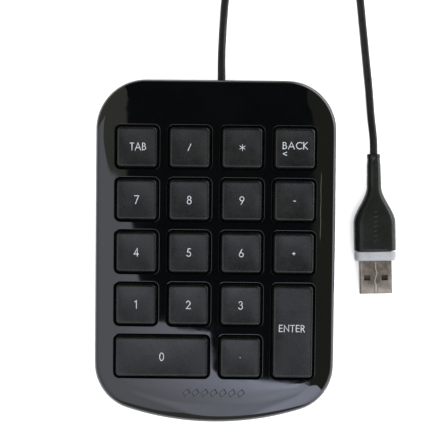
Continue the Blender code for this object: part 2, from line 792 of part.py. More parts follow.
def make_stabiliser(deck, name, long_axis, column, row):
    """A wire with two parallel arms whose ends hook outwards. Its pivot line is its origin."""
    arm_direction = Vector((0.0, WIRE_ARM, WIRE_RISE))
    arm = arm_direction.normalized() * WIRE_ARM
    left = Vector((-WIRE_REACH, 0.0, 0.0))
    right = Vector((WIRE_REACH, 0.0, 0.0))
    hook = Vector((WIRE_HOOK, 0.0, 0.0))
    path = [left + arm - hook, left + arm, left, right, right + arm, right + arm + hook]
    plane_normal = Vector((0.0, -arm.z, arm.y)).normalized()
    if long_axis == "y":
        path = [Vector((p.y, p.x, p.z)) for p in path]
        plane_normal = Vector((plane_normal.y, plane_normal.x, plane_normal.z))
    centre_x, centre_y = key_centre(column, row)
    if long_axis == "x":
        pivot = (centre_x, centre_y + WIRE_PIVOT_OFFSET, WIRE_PIVOT_DEPTH)
    else:
        pivot = (centre_x + WIRE_PIVOT_OFFSET, centre_y, WIRE_PIVOT_DEPTH)
    rings = tube_rings(path, WIRE_RADIUS, WIRE_STEPS, plane_normal)
    make_part(name, mesh_of(name, [rings]), SPRING_STEEL, deck, pivot)


def make_controller():
    half_x = BOARD_WIDTH / 2
    half_y = BOARD_LENGTH / 2
    plan = rounded_rectangle(half_x, half_y, 0.001, middle=(0.0, BOARD_MIDDLE_Y))
    top = BOARD_UNDERSIDE + BOARD_THICKNESS
    board = mesh_of("controller_board", [prism(plan, BOARD_UNDERSIDE, top)])
    make_part("controller_board", board, BOARD_GREEN)
    foot = top + SLIP
    half = CHIP_SIZE / 2
    middle_y = BOARD_MIDDLE_Y + 0.002
    chip = block((-half, half), (middle_y - half, middle_y + half), (foot, foot + CHIP_THICKNESS))
    make_part("controller_chip", mesh_of("controller_chip", [chip]), CHIP_BLACK)


def screw_rings():
    """A pan-headed screw, head down, from the head's rim to the tip."""
    head_foot = SCREW_HEAD_TOP - SCREW_HEAD_HEIGHT
    profile = (
        (SCREW_HEAD_RADIUS - 0.0005, head_foot),
        (SCREW_HEAD_RADIUS, head_foot + 0.0005),
        (SCREW_HEAD_RADIUS, SCREW_HEAD_TOP),
        (SCREW_RADIUS, SCREW_HEAD_TOP),
        (SCREW_RADIUS, SCREW_TIP - 0.001),
        (SCREW_RADIUS / 3, SCREW_TIP),
    )
    return [at_depth(circle(radius, 12), z) for radius, z in profile]


def cross_recess():
    """A cross-shaped plug for the screwdriver recess, as one twelve-sided prism."""
    long = SCREW_CROSS / 2
    short = SCREW_CROSS_SLOT / 2
    plan = [
        (long, -short),
        (long, short),
        (short, short),
        (short, long),
        (-short, long),
        (-short, short),
        (-long, short),
        (-long, -short),
        (-short, -short),
        (-short, -long),
        (short, -long),
        (short, -short),
    ]
    head_foot = SCREW_HEAD_TOP - SCREW_HEAD_HEIGHT
    return prism(plan, head_foot - 0.001, head_foot + SCREW_CROSS_DEPTH)


def make_screws(deck):
    for name, (x, y) in SCREW_SPOTS.items():
        screw_name = "casing_screw_" + name
        screw = make_part(screw_name, mesh_of(screw_name, [screw_rings()]), SPRING_STEEL, deck, (x, y, 0.0))
        recess = make_helper("cross_" + name, mesh_of("cross_" + name, [cross_recess()]), deck)
        recess.location = (x, y, 0.0)
        boolean(screw, recess, "DIFFERENCE")


def smooth_route(route):
    """Points at even spacing on a smooth curve through the route."""
    stops = [Vector(point) for point in route]
    stops = [2 * stops[0] - stops[1]] + stops + [2 * stops[-1] - stops[-2]]
    points = []
    for i in range(1, len(stops) - 2):
        before, start, end, after = stops[i - 1 : i + 3]
        count = max(1, round((end - start).length / CORD_POINT_SPACING))
        for k in range(count):
            t = k / count
            bend = 2 * before - 5 * start + 4 * end - after
            twist = 3 * start - before - 3 * end + after
            points.append(start + 0.5 * (t * (end - before) + t * t * bend + t * t * t * twist))
    points.append(stops[-2])
    return points


def make_cord_tube(name, route):
    curve = bpy.data.curves.new(name, "CURVE")
    curve.dimensions = "3D"
    curve.bevel_depth = CORD_DIAMETER / 2
    curve.bevel_resolution = 2
    curve.use_fill_caps = True
    points = smooth_route(route)
    spline = curve.splines.new("POLY")
    spline.points.add(len(points) - 1)
    for target, point in zip(spline.points, points):
        target.co = (point.x, point.y, point.z, 1.0)
    obj = bpy.data.objects.new(name, curve)
    place(obj, None, (0.0, 0.0, 0.0))
    give_material(obj, CORD_GREY)


def make_coil():
    """The coiled turns as one ring, with a chamfer of half a cord on each edge."""
    half_width = COIL_TURNS_ACROSS * CORD_DIAMETER / 2
    height = COIL_LAYERS * CORD_DIAMETER
    chamfer = CORD_DIAMETER / 2
    inner = COIL_MEAN_RADIUS - half_width
    outer = COIL_MEAN_RADIUS + half_width
    profile = (
        (inner + chamfer, 0.0),
        (outer - chamfer, 0.0),
        (outer, chamfer),
        (outer, height - chamfer),
        (outer - chamfer, height),
        (inner + chamfer, height),
        (inner, height - chamfer),
        (inner, chamfer),
    )
    rings = [at_depth(circle(radius, COIL_STEPS), z) for radius, z in profile]
    mesh = mesh_of("cord_coil", [rings], ring_of_rings=True)
    make_part("cord_coil", mesh, CORD_GREY, None, (COIL_CENTRE[0], COIL_CENTRE[1], 0.0))


def plug_section(half_width, half_height, radius, distance, middle_z=0.0):
    """A rounded rectangle across the plug, at this distance from the neck's end."""
    outline = rounded_rectangle(half_width, half_height, radius, PLUG_SECTION_STEPS, (0.0, middle_z))
    return [(x, -distance, z) for x, z in outline]


def overmould_rings():
    """Socket floor, socket, neck, shoulder, flare, body and the pocket for the shell."""
    socket = CORD_HOLE_RADIUS
    neck = NECK_RADIUS
    wide = OVERMOULD_HALF_WIDTH
    tall = OVERMOULD_HALF_HEIGHT
    pocket_x = SHELL_HALF_WIDTH + SLIP
    pocket_z = SHELL_HALF_HEIGHT + SLIP
    span = FLARE_END - NECK_LENGTH
    rings = [
        plug_section(socket, socket, socket * 0.96, NECK_SOCKET_DEPTH),
        plug_section(socket, socket, socket * 0.96, 0.0),
        plug_section(neck - 0.0002, neck - 0.0002, neck * 0.88, 0.0),
        plug_section(neck, neck, neck * 0.96, 0.0006),
        plug_section(neck + 0.0002, neck + 0.0002, neck * 1.02, NECK_LENGTH),
        plug_section(neck + 0.0011, neck + 0.0007, neck * 1.15, NECK_LENGTH + 0.0012),
    ]
    for share, width_share, height_share in ((0.30, 0.45, 0.55), (0.60, 0.80, 0.85), (1.0, 1.0, 1.0)):
        half_x = neck + 0.0011 + (wide - neck - 0.0011) * width_share
        half_z = neck + 0.0007 + (tall - neck - 0.0007) * height_share
        rings.append(plug_section(half_x, half_z, 0.0026, NECK_LENGTH + span * share))
    rings.append(plug_section(wide, tall, 0.0024, OVERMOULD_END - 0.0006))
    rings.append(plug_section(wide - 0.0006, tall - 0.0006, 0.0018, OVERMOULD_END))
    rings.append(plug_section(pocket_x, pocket_z, SHELL_CORNER + SLIP, OVERMOULD_END))
    rings.append(plug_section(pocket_x, pocket_z, SHELL_CORNER + SLIP, SHELL_START - SLIP))
    return rings


def make_plug_overmould(plug):
    make_part("plug_overmould", mesh_of("plug_overmould", [overmould_rings()]), PLUG_BLACK, plug)


def make_plug_collar(plug):
    hole_x = SHELL_HALF_WIDTH + SLIP
    hole_z = SHELL_HALF_HEIGHT + SLIP
    hole_corner = SHELL_CORNER + SLIP
    wide = OVERMOULD_HALF_WIDTH - 0.0003
    tall = OVERMOULD_HALF_HEIGHT - 0.0003
    rings = [
        plug_section(hole_x, hole_z, hole_corner, COLLAR_START),
        plug_section(wide, tall, 0.0022, COLLAR_START),
        plug_section(wide, tall, 0.0022, COLLAR_END - 0.0012),
        plug_section(wide - 0.0004, tall - 0.0004, 0.0019, COLLAR_END - 0.0004),
        plug_section(wide - 0.0010, tall - 0.0008, 0.0015, COLLAR_END),
        plug_section(hole_x, hole_z, hole_corner, COLLAR_END),
    ]
    make_part("plug_collar", mesh_of("plug_collar", [rings], ring_of_rings=True), COLLAR_GREY, plug)


def make_plug_shell(plug):
    wide = SHELL_HALF_WIDTH
    tall = SHELL_HALF_HEIGHT
    inner_corner = SHELL_CORNER - SHELL_SHEET
    rings = [
        plug_section(wide, tall, SHELL_CORNER, SHELL_START),
        plug_section(wide, tall, SHELL_CORNER, SHELL_END),
        plug_section(wide - SHELL_SHEET, tall - SHELL_SHEET, inner_corner, SHELL_END),
        plug_section(wide - SHELL_SHEET, tall - SHELL_SHEET, inner_corner, SHELL_START),
    ]
    shell = make_part("plug_shell", mesh_of("plug_shell", [rings], ring_of_rings=True), NICKEL, plug)
    windows = []
    for sign in (-1, 1):
        x_range = (sign * WINDOW_OFFSET - WINDOW_WIDTH / 2, sign * WINDOW_OFFSET + WINDOW_WIDTH / 2)
        middle = WINDOW_FROM_TIP - SHELL_END
        y_range = (middle - WINDOW_LENGTH / 2, middle + WINDOW_LENGTH / 2)
        windows.append(block(x_range, y_range, (-2 * tall, 2 * tall)))
    boolean(shell, make_helper("shell_window", mesh_of("shell_window", windows), plug), "DIFFERENCE")


def make_plug_tongue(plug):
    middle_z = (TONGUE_TOP + TONGUE_UNDERSIDE) / 2
    half_height = (TONGUE_TOP - TONGUE_UNDERSIDE) / 2
    rings = [
        plug_section(TONGUE_HALF_WIDTH, half_height, 0.0002, TONGUE_START, middle_z),
        plug_section(TONGUE_HALF_WIDTH, half_height, 0.0002, TONGUE_END - 0.0004, middle_z),
        plug_section(TONGUE_HALF_WIDTH - 0.0003, half_height - 0.0003, 0.0002, TONGUE_END, middle_z),
    ]
    make_part("plug_tongue", mesh_of("plug_tongue", [rings]), TONGUE_WHITE, plug)


def build():
    clear_scene()
    deck_y = -PARTING_DEPTH * sin(DECK_TILT)
    deck = make_empty("deck", (0.0, deck_y, DECK_HEIGHT), tilt_x=DECK_TILT)
    make_top_cover(deck)
    make_bottom_cover(deck)
    make_keycaps(deck)
    make_domes(deck)
    make_guide_frame(deck)
    make_membranes(deck)
    make_back_plate(deck)
    make_stabiliser(deck, "stabiliser_bar_0", "x", 0.5, 4)
    make_stabiliser(deck, "stabiliser_bar_enter", "y", 3, 3.5)
    make_screws(deck)
    make_controller()
    make_feet()
    make_cord_tube("cord_lead", LEAD_ROUTE)
    make_coil()
    make_cord_tube("cord_tail", TAIL_ROUTE)
    plug = make_empty("plug", PLUG_NECK_END, swing_z=PLUG_SWING)
    make_plug_overmould(plug)
    make_plug_collar(plug)
    make_plug_shell(plug)
    make_plug_tongue(plug)


build()
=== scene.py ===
"""Looks of a numeric keypad with a USB cord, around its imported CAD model.

Units are metres. Most pieces are drawn in deck coordinates: x and y lie in the
plane of the deck round the keys, and z is 0 on the deck and negative below it.
The plug is drawn along its own axis, from the end of its neck to its tip.
"""

import json
from functools import cache
from math import acos, atan2, cos, hypot, pi, radians, sin, sqrt

import bmesh
import bpy
from mathutils import Matrix, Vector


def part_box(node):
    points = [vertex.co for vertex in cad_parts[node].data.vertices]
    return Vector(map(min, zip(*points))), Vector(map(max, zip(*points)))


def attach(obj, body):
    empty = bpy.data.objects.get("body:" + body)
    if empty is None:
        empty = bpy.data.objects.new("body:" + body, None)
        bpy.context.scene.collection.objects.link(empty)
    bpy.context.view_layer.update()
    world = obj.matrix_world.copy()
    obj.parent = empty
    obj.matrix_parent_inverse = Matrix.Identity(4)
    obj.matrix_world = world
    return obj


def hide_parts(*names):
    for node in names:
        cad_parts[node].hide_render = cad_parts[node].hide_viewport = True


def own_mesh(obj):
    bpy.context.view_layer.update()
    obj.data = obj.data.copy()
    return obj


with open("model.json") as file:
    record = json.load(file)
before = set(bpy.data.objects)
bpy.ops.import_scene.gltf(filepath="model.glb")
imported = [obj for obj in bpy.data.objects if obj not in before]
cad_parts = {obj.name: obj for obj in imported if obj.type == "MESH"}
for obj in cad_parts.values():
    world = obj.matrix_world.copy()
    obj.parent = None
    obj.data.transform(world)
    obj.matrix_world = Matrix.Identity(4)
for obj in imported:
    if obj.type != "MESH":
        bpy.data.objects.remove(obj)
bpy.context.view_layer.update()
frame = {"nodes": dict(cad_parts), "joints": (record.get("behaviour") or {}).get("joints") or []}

MM = 0.001

# Casing plan
REAR_CORNER_RADIUS = 18.4 * MM
FRONT_CORNER_RADIUS = 17.3 * MM
FRONT_BOW_RADIUS = 105.5 * MM

# Casing profile
COVER_THICKNESS = 1.5 * MM
SKIRT_THICKNESS = 1.6 * MM
SKIRT_DRAFT = 0.25 * MM
PARTING_DEPTH = 8.0 * MM
SLIP = 0.3 * MM
ROLL_WIDTH = 5.9 * MM
ROLL_DEPTH = 3.0 * MM
FRONT_ROLL_WIDTH = 8.0 * MM
FRONT_ROLL_DEPTH = 4.2 * MM
BOW_ROLL_FROM_Y = -36 * MM
BOW_ROLL_LENGTH = 16 * MM
ROLL_POWER = 2.6
PARTING_BEVEL = 0.15 * MM
WELL_FILLET = 0.16 * MM
WELL_CORNER = 2.1 * MM
LIP_PATTERN_Y = -51.4 * MM
WELL_CLEARANCE = 0.55 * MM

# Keys
KEY_PITCH = 19 * MM
KEY_HALF = 7.5 * MM
KEY_MARGIN = KEY_PITCH / 2 - KEY_HALF
KEY_RISE = 2.0 * MM
KEY_CORNER = 1.7 * MM
KEY_TAPER = 0.50 * MM
KEY_RIM = 0.45 * MM
KEY_RIM_DROP = 0.27 * MM
KEY_DISH = 0.20 * MM
KEY_WALL = 1.0 * MM
KEY_SIDE_PIECES = 14
CLIP_OFFSET = 14.0 * MM
FLANGE_REACH = 1.0 * MM
FLANGE_THICKNESS = 0.8 * MM

# Cell grid of the deck: one cell per key, with so many edges to a key pitch
EDGES_PER_PITCH = 12
CORNER_EDGES = 3

# Cord
CORD_DIAMETER = 2.9 * MM
COIL_CENTRE = (25.0 * MM, 123.0 * MM)
COIL_OUTER_LANE = 19.4 * MM
COIL_INNER_LANE = 13.6 * MM
COIL_TOP_Z = 1.5 * CORD_DIAMETER
COIL_LEAVE_ANGLE = radians(25)
TIE_ANGLE = radians(-118)
LEAD_ROUTE = (
    (0.0017, 0.0550, 0.0085),
    (0.0017, 0.0620, 0.0085),
    (0.0016, 0.0700, 0.0079),
    (0.0018, 0.0780, 0.0050),
    (0.0022, 0.0860, 0.0022),
    (0.0028, 0.0940, 0.00145),
    (0.0042, 0.1025, 0.00145),
    (0.0056, 0.1105, 0.00145),
)
TAIL_ROUTE = (
    (0.0479, 0.1199, 0.0027),
    (0.0490, 0.1158, 0.0019),
    (0.0502, 0.1115, 0.0015),
    (0.0520, 0.1025, 0.00145),
    (0.0530, 0.0935, 0.00145),
    (0.0542, 0.0823, 0.00145),
    (0.0554, 0.0712, 0.00145),
    (0.0566, 0.0600, 0.00145),
    (0.0574, 0.0500, 0.0021),
    (0.0582, 0.0420, 0.0036),
    (0.0583, 0.0365, 0.0040),
    (0.05844, 0.0310, 0.0040),
)

# Plug, with distances from the end of its neck
PLUG_NECK_END = Vector((0.0583, 0.0365, 0.0040))
PLUG_SWING = radians(1.42)
NECK_RADIUS = 2.5 * MM
NECK_LENGTH = 12.0 * MM
NECK_GROWTH = 0.2 * MM
FLARE_END = 25.6 * MM
OVERMOULD_END = 35.9 * MM
OVERMOULD_HALF_WIDTH = 7.8 * MM
OVERMOULD_HALF_HEIGHT = 4.0 * MM
COLLAR_START = 36.2 * MM
COLLAR_END = 39.6 * MM
SHELL_START = 32.6 * MM
SHELL_END = 51.7 * MM
SHELL_HALF_WIDTH = 6.0 * MM
SHELL_HALF_HEIGHT = 2.25 * MM
SHELL_SHEET = 0.3 * MM
SHELL_POCKET = (SHELL_HALF_WIDTH + SLIP, SHELL_HALF_HEIGHT + SLIP, 0.9 * MM)
FACET_POWER = 2.0
WINDOW_FROM_TIP = 5.9 * MM
WINDOW_OFFSET = 3.2 * MM
WINDOW_WIDTH = 2.3 * MM
WINDOW_LENGTH = 2.0 * MM
TONGUE_START = 33.0 * MM
TONGUE_END = 50.6 * MM
TONGUE_HALF_WIDTH = 5.4 * MM
TONGUE_UNDERSIDE = -1.65 * MM
TONGUE_TOP = 0.20 * MM

# Legends, as (text, cap height, width of the word or None, offset of its middle)
LEGENDS = {
    "tab": (("TAB", 2.65, 5.7, (0.35, 0.15)),),
    "divide": (("/", 2.4, None, (-0.1, 0.0)),),
    "multiply": (("*", 2.5, None, (0.0, 0.1)),),
    "back": (("BACK", 2.5, 9.1, (0.0, 1.0)), ("<", 1.5, None, (-3.7, -1.95))),
    "minus": (("-", 1.75, None, (0.0, 0.0)),),
    "plus": (("+", 1.75, None, (0.0, 0.0)),),
    "enter": (("ENTER", 2.55, 9.4, (-0.4, 1.3)),),
    "decimal": ((".", 3.1, None, (0.0, 0.0)),),
}
DIGIT_HEIGHT = 3.0
LEGEND_STROKE = 0.29 * MM
LEGEND_PROUD = 0.02 * MM


# ---------------------------------------------------------------- the frame

def tilt_of_deck():
    """The keys slide straight down into the deck, so their axis gives its tilt."""
    for joint in frame["joints"]:
        if joint["name"] == "press_7":
            return atan2(joint["axis"][1], -joint["axis"][2])
    raise KeyError("press_7")


DECK_TILT = tilt_of_deck()
TO_LEVEL = Matrix.Rotation(DECK_TILT, 4, "X")


def tilted_box(node):
    """The corners of a node's box along the deck's own axes."""
    turn = TO_LEVEL.inverted()
    points = [turn @ vertex.co for vertex in frame["nodes"][node].data.vertices]
    lowest = Vector([min(p[i] for p in points) for i in range(3)])
    highest = Vector([max(p[i] for p in points) for i in range(3)])
    return lowest, highest


COVER_LOW, COVER_HIGH = tilted_box("top_cover")
DECK_Z = tilted_box("key_7")[1].z - KEY_RISE
DECK_MIDDLE_Y = (COVER_LOW.y + COVER_HIGH.y) / 2
DECK = TO_LEVEL @ Matrix.Translation((0.0, DECK_MIDDLE_Y, DECK_Z))
HALF_WIDTH = (COVER_HIGH.x - COVER_LOW.x) / 2
HALF_LENGTH = (COVER_HIGH.y - COVER_LOW.y) / 2
PLUG = Matrix.Translation(PLUG_NECK_END) @ Matrix.Rotation(PLUG_SWING, 4, "Z")
KEY_NAMES = [name[len("key_"):] for name in sorted(frame["nodes"]) if name.startswith("key_")]
KEY_NAMES.remove("guide_frame")


def key_plan(name):
    """The middle of a key in deck coordinates, and its half sizes without the flange."""
    low, high = tilted_box("key_" + name)
    middle = ((low.x + high.x) / 2, (low.y + high.y) / 2 - DECK_MIDDLE_Y)
    half = ((high.x - low.x) / 2 - FLANGE_REACH, (high.y - low.y) / 2 - FLANGE_REACH)
    return middle, half


KEY_PLANS = {name: key_plan(name) for name in KEY_NAMES}


def on_deck_at(spot):
    return DECK @ Matrix.Translation((spot[0], spot[1], 0.0))


# ---------------------------------------------------------------- meshes

def mesh_from(name, vertices, faces, merge=0.0, smooth_angle=35.0):
    bm = bmesh.new()
    made = [bm.verts.new(vertex) for vertex in vertices]
    for face in faces:
        bm.faces.new([made[i] for i in face])
    if merge:
        bmesh.ops.remove_doubles(bm, verts=bm.verts, dist=merge)
    wide = [face for face in bm.faces if len(face.verts) > 4]
    bmesh.ops.triangulate(bm, faces=wide, ngon_method="BEAUTY")
    bmesh.ops.recalc_face_normals(bm, faces=bm.faces)
    mesh = bpy.data.meshes.new(name)
    bm.to_mesh(mesh)
    bm.free()
    mesh.shade_smooth()
    mesh.set_sharp_from_angle(angle=radians(smooth_angle))
    return mesh


class Shape:
    """Vertices and faces that grow by lofts."""

    def __init__(self, rings=(), **how):
        self.vertices = []
        self.faces = []
        if rings:
            self.loft(rings, **how)

    def loft(self, rings, caps=True, ring_of_rings=False, open_strip=False):
        first = len(self.vertices)
        count = len(rings[0])
        last = first + (len(rings) - 1) * count
        self.vertices += [tuple(point) for ring in rings for point in ring]
        bands = [(k, k + 1) for k in range(len(rings) - 1)]
        if ring_of_rings:
            bands.append((len(rings) - 1, 0))
        elif caps:
            self.faces += [[start + i for i in range(count)] for start in (first, last)]
        for lower, upper in bands:
            a = first + lower * count
            b = first + upper * count
            for i in range(count - (1 if open_strip else 0)):
                j = (i + 1) % count
                self.faces.append([a + i, a + j, b + j, b + i])

    def prism(self, plan, low, high):
        self.loft([at_depth(plan, low), at_depth(plan, high)])

    def moved(self, place):
        """Carry every vertex from its own axes to the world."""
        self.vertices = [tuple(place @ Vector(vertex)) for vertex in self.vertices]
        return self

    def mesh(self, name, merge=0.0, smooth_angle=35.0):
        return mesh_from(name, self.vertices, self.faces, merge, smooth_angle)


def new_object(name, data):
    obj = bpy.data.objects.new(name, data)
    bpy.context.scene.collection.objects.link(obj)
    return obj


def add_piece(name, form, look_name, replaced=(), slot=None, body="casing", **settings):
    """A named piece that rides a body. form is a Shape in world coordinates, or a curve."""
    data = form.mesh(name, **settings) if isinstance(form, Shape) else form
    obj = new_object(name, data)
    data.materials.append(look(look_name))
    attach(obj, body)
    if replaced:
        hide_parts(*replaced)
    return obj


def cut(obj, cutters, operation="DIFFERENCE"):
    """Cut or join shapes with obj, and keep the result as its mesh."""
    tool = new_object("cutter", cutters.mesh("cutter"))
    modifier = obj.modifiers.new("cut", "BOOLEAN")
    modifier.object = tool
    modifier.operation = operation
    modifier.solver = "EXACT"
    bpy.context.view_layer.update()
    graph = bpy.context.evaluated_depsgraph_get()
    result = bpy.data.meshes.new_from_object(obj.evaluated_get(graph))
    obj.modifiers.clear()
    obj.data = result
    bpy.data.objects.remove(tool)
    result.set_sharp_from_angle(angle=radians(35))


def arc(centre, radius, start, end, steps):
    points = []
    for i in range(steps + 1):
        angle = start + (end - start) * i / steps
        points.append((centre[0] + radius * cos(angle), centre[1] + radius * sin(angle)))
    return points


# The signs of x and y in the four quarters, anticlockwise
QUARTERS = ((1, 1), (-1, 1), (-1, -1), (1, -1))


def clamped(share):
    return min(1.0, max(0.0, share))


def eased(share):
    """A share from 0 to 1 that starts and ends gently."""
    return share * share * (3 - 2 * share)


def rounded_rectangle(half_x, half_y, radius, steps=6, middle=(0.0, 0.0)):
    points = []
    radius = min(radius, half_x, half_y)
    for quarter, (sign_x, sign_y) in enumerate(QUARTERS):
        centre = (middle[0] + sign_x * (half_x - radius), middle[1] + sign_y * (half_y - radius))
        start = quarter * pi / 2
        points += arc(centre, radius, start, start + pi / 2, steps)
    return points


def circle(radius, steps, middle=(0.0, 0.0)):
    return arc(middle, radius, 0.0, 2 * pi * (steps - 1) / steps, steps - 1)


def at_depth(points, z):
    return [(point[0], point[1], z) for point in points]


def box_rings(x_range, y_range, z_range, bevel=0.0):
    """A box with chamfered ends, as a loft."""
    x0, x1 = x_range
    y0, y1 = y_range
    middle = ((x0 + x1) / 2, (y0 + y1) / 2)
    half = ((x1 - x0) / 2, (y1 - y0) / 2)
    rings = []
    for inset, z in (
        (bevel, z_range[0]),
        (0.0, z_range[0] + bevel),
        (0.0, z_range[1] - bevel),
        (bevel, z_range[1]),
    ):
        plan = rounded_rectangle(half[0] - inset, half[1] - inset, max(bevel, 0.02 * MM), 2, middle)
        rings.append(at_depth(plan, z))
    return rings


def smooth_route(route, spacing):
    """Points at even spacing on a smooth curve through the route."""
    stops = [Vector(point) for point in route]
    stops = [2 * stops[0] - stops[1]] + stops + [2 * stops[-1] - stops[-2]]
    points = []
    for i in range(1, len(stops) - 2):
        before, start, end, after = stops[i - 1 : i + 3]
        count = max(1, round((end - start).length / spacing))
        for k in range(count):
            t = k / count
            bend = 2 * before - 5 * start + 4 * end - after
            twist = 3 * start - before - 3 * end + after
            points.append(start + 0.5 * (t * (end - before) + t * t * bend + t ** 3 * twist))
    points.append(stops[-2])
    return points


# ---------------------------------------------------------------- materials

class Nodes:
    """A short way to write a node tree."""

    def __init__(self, tree):
        self.tree = tree

    def add(self, kind, inputs=None, **settings):
        node = self.tree.nodes.new(kind)
        for key, value in settings.items():
            setattr(node, key, value)
        for key, value in (inputs or {}).items():
            self.feed(node.inputs[key], value)
        return node

    def feed(self, socket, value):
        if isinstance(value, Value):
            value = value.socket
        if isinstance(value, bpy.types.NodeSocket):
            self.tree.links.new(value, socket)
        else:
            socket.default_value = value

    def math(self, operation, a, b=0.0, clamp=False):
        node = self.add("ShaderNodeMath", operation=operation, use_clamp=clamp)
        self.feed(node.inputs[0], a)
        self.feed(node.inputs[1], b)
        return Value(self, node.outputs[0])

    def ramp(self, value, low, high, start=0.0, end=1.0):
        """A smooth step of value, from start at low to end at high."""
        inputs = {"Value": value, "From Min": low, "From Max": high, "To Min": start, "To Max": end}
        node = self.add("ShaderNodeMapRange", inputs, interpolation_type="SMOOTHSTEP")
        return Value(self, node.outputs[0])

    def mix(self, share, first, second):
        return self.add("ShaderNodeMix", {0: share, 6: first, 7: second}, data_type="RGBA").outputs[2]

    def scaled(self, colour, factor):
        inputs = {0: colour, "Scale": factor}
        return self.add("ShaderNodeVectorMath", inputs, operation="SCALE").outputs[0]

    def noise(self, vector, scale, detail=2.0, roughness=0.5):
        inputs = {"Vector": vector, "Scale": scale, "Detail": detail, "Roughness": roughness}
        return Value(self, self.add("ShaderNodeTexNoise", inputs).outputs["Fac"])

    def voronoi(self, vector, scale):
        inputs = {"Vector": vector, "Scale": scale}
        return Value(self, self.add("ShaderNodeTexVoronoi", inputs).outputs["Distance"])


class Value:
    """A number that flows through a node tree, for plain arithmetic."""

    def __init__(self, nodes, socket):
        self.nodes = nodes
        self.socket = socket

    def __add__(self, other):
        return self.nodes.math("ADD", self, other)

    def __sub__(self, other):
        return self.nodes.math("SUBTRACT", self, other)

    def __rsub__(self, other):
        return self.nodes.math("SUBTRACT", other, self)

    def __mul__(self, other):
        return self.nodes.math("MULTIPLY", self, other)

    def __truediv__(self, other):
        return self.nodes.math("DIVIDE", self, other)

    def __abs__(self):
        return self.nodes.math("ABSOLUTE", self)

    def at_least(self, other):
        return self.nodes.math("MAXIMUM", self, other)

    def at_most(self, other):
        return self.nodes.math("MINIMUM", self, other)


def rgb(r, g, b):
    return (r, g, b, 1.0)


def make_material(name, colours, roughness, grain, metallic=0.0, spots=90.0, fine=None, **sockets):
    """Plastic, rubber or metal: two colours in soft patches, uneven gloss and a fine grain.

    colours are the two base colours, roughness its lowest and highest value, and grain
    the (scale, height in metres, strength) of the surface relief.
    """
    material = bpy.data.materials.new(name)
    material.use_nodes = True
    nodes = Nodes(material.node_tree)
    shader = material.node_tree.nodes["Principled BSDF"]
    place = nodes.add("ShaderNodeTexCoord").outputs["Object"]
    patches = nodes.noise(place, spots, 3.0)
    speckle = nodes.noise(place, grain[0] * 0.6, 1.0)
    share = nodes.ramp(patches * 0.7 + speckle * 0.3, 0.30, 0.70)
    nodes.feed(shader.inputs["Base Color"], nodes.mix(share, colours[0], colours[1]))
    wear = nodes.noise(place, spots * 3.3, 4.0, 0.6)
    nodes.feed(shader.inputs["Roughness"], nodes.ramp(wear, 0.25, 0.75, roughness[0], roughness[1]))
    height = nodes.noise(place, grain[0], 2.0, 0.6)
    if fine is not None:
        height = fine(nodes, place, height)
    bump = nodes.add("ShaderNodeBump", {"Strength": grain[2], "Distance": grain[1], "Height": height})
    nodes.feed(shader.inputs["Normal"], bump.outputs[0])
    shader.inputs["Metallic"].default_value = metallic
    for key, value in sockets.items():
        shader.inputs[key.replace("_", " ")].default_value = value
    return material


def spark_grain(nodes, place, height):
    """Spark-eroded mould texture: small pits between rounded grains."""
    return height + nodes.voronoi(place, 3200.0) * 0.8


def fine_grain(nodes, place, height):
    """The same texture on a smoother mould."""
    return height + nodes.voronoi(place, 9000.0) * 0.7


def brushed(nodes, place, height):
    """Fine parallel lines along x."""
    stretched = nodes.add("ShaderNodeMapping", {"Vector": place, "Scale": (60.0, 6000.0, 6000.0)})
    return height * 0.3 + nodes.noise(stretched.outputs[0], 1.0, 3.0)


def traces(nodes, place, height):
    """Copper traces that show through the solder mask."""
    lines = nodes.add("ShaderNodeTexBrick", {"Vector": place, "Scale": 260.0, "Mortar Size": 0.03})
    return height + Value(nodes, lines.outputs["Fac"]) * 1.5


def blotches(nodes, place, height):
    """Nickel that has dulled to brown in blotches."""
    return height + nodes.noise(place, 700.0, 4.0, 0.7)


def weave(nodes, place, height):
    """Loops of hook-and-loop tape."""
    return height + nodes.voronoi(place, 2600.0)


STEEL = {"metallic": 1.0, "fine": brushed}
STEEL_GRAIN = (900, 0.01, 0.35)

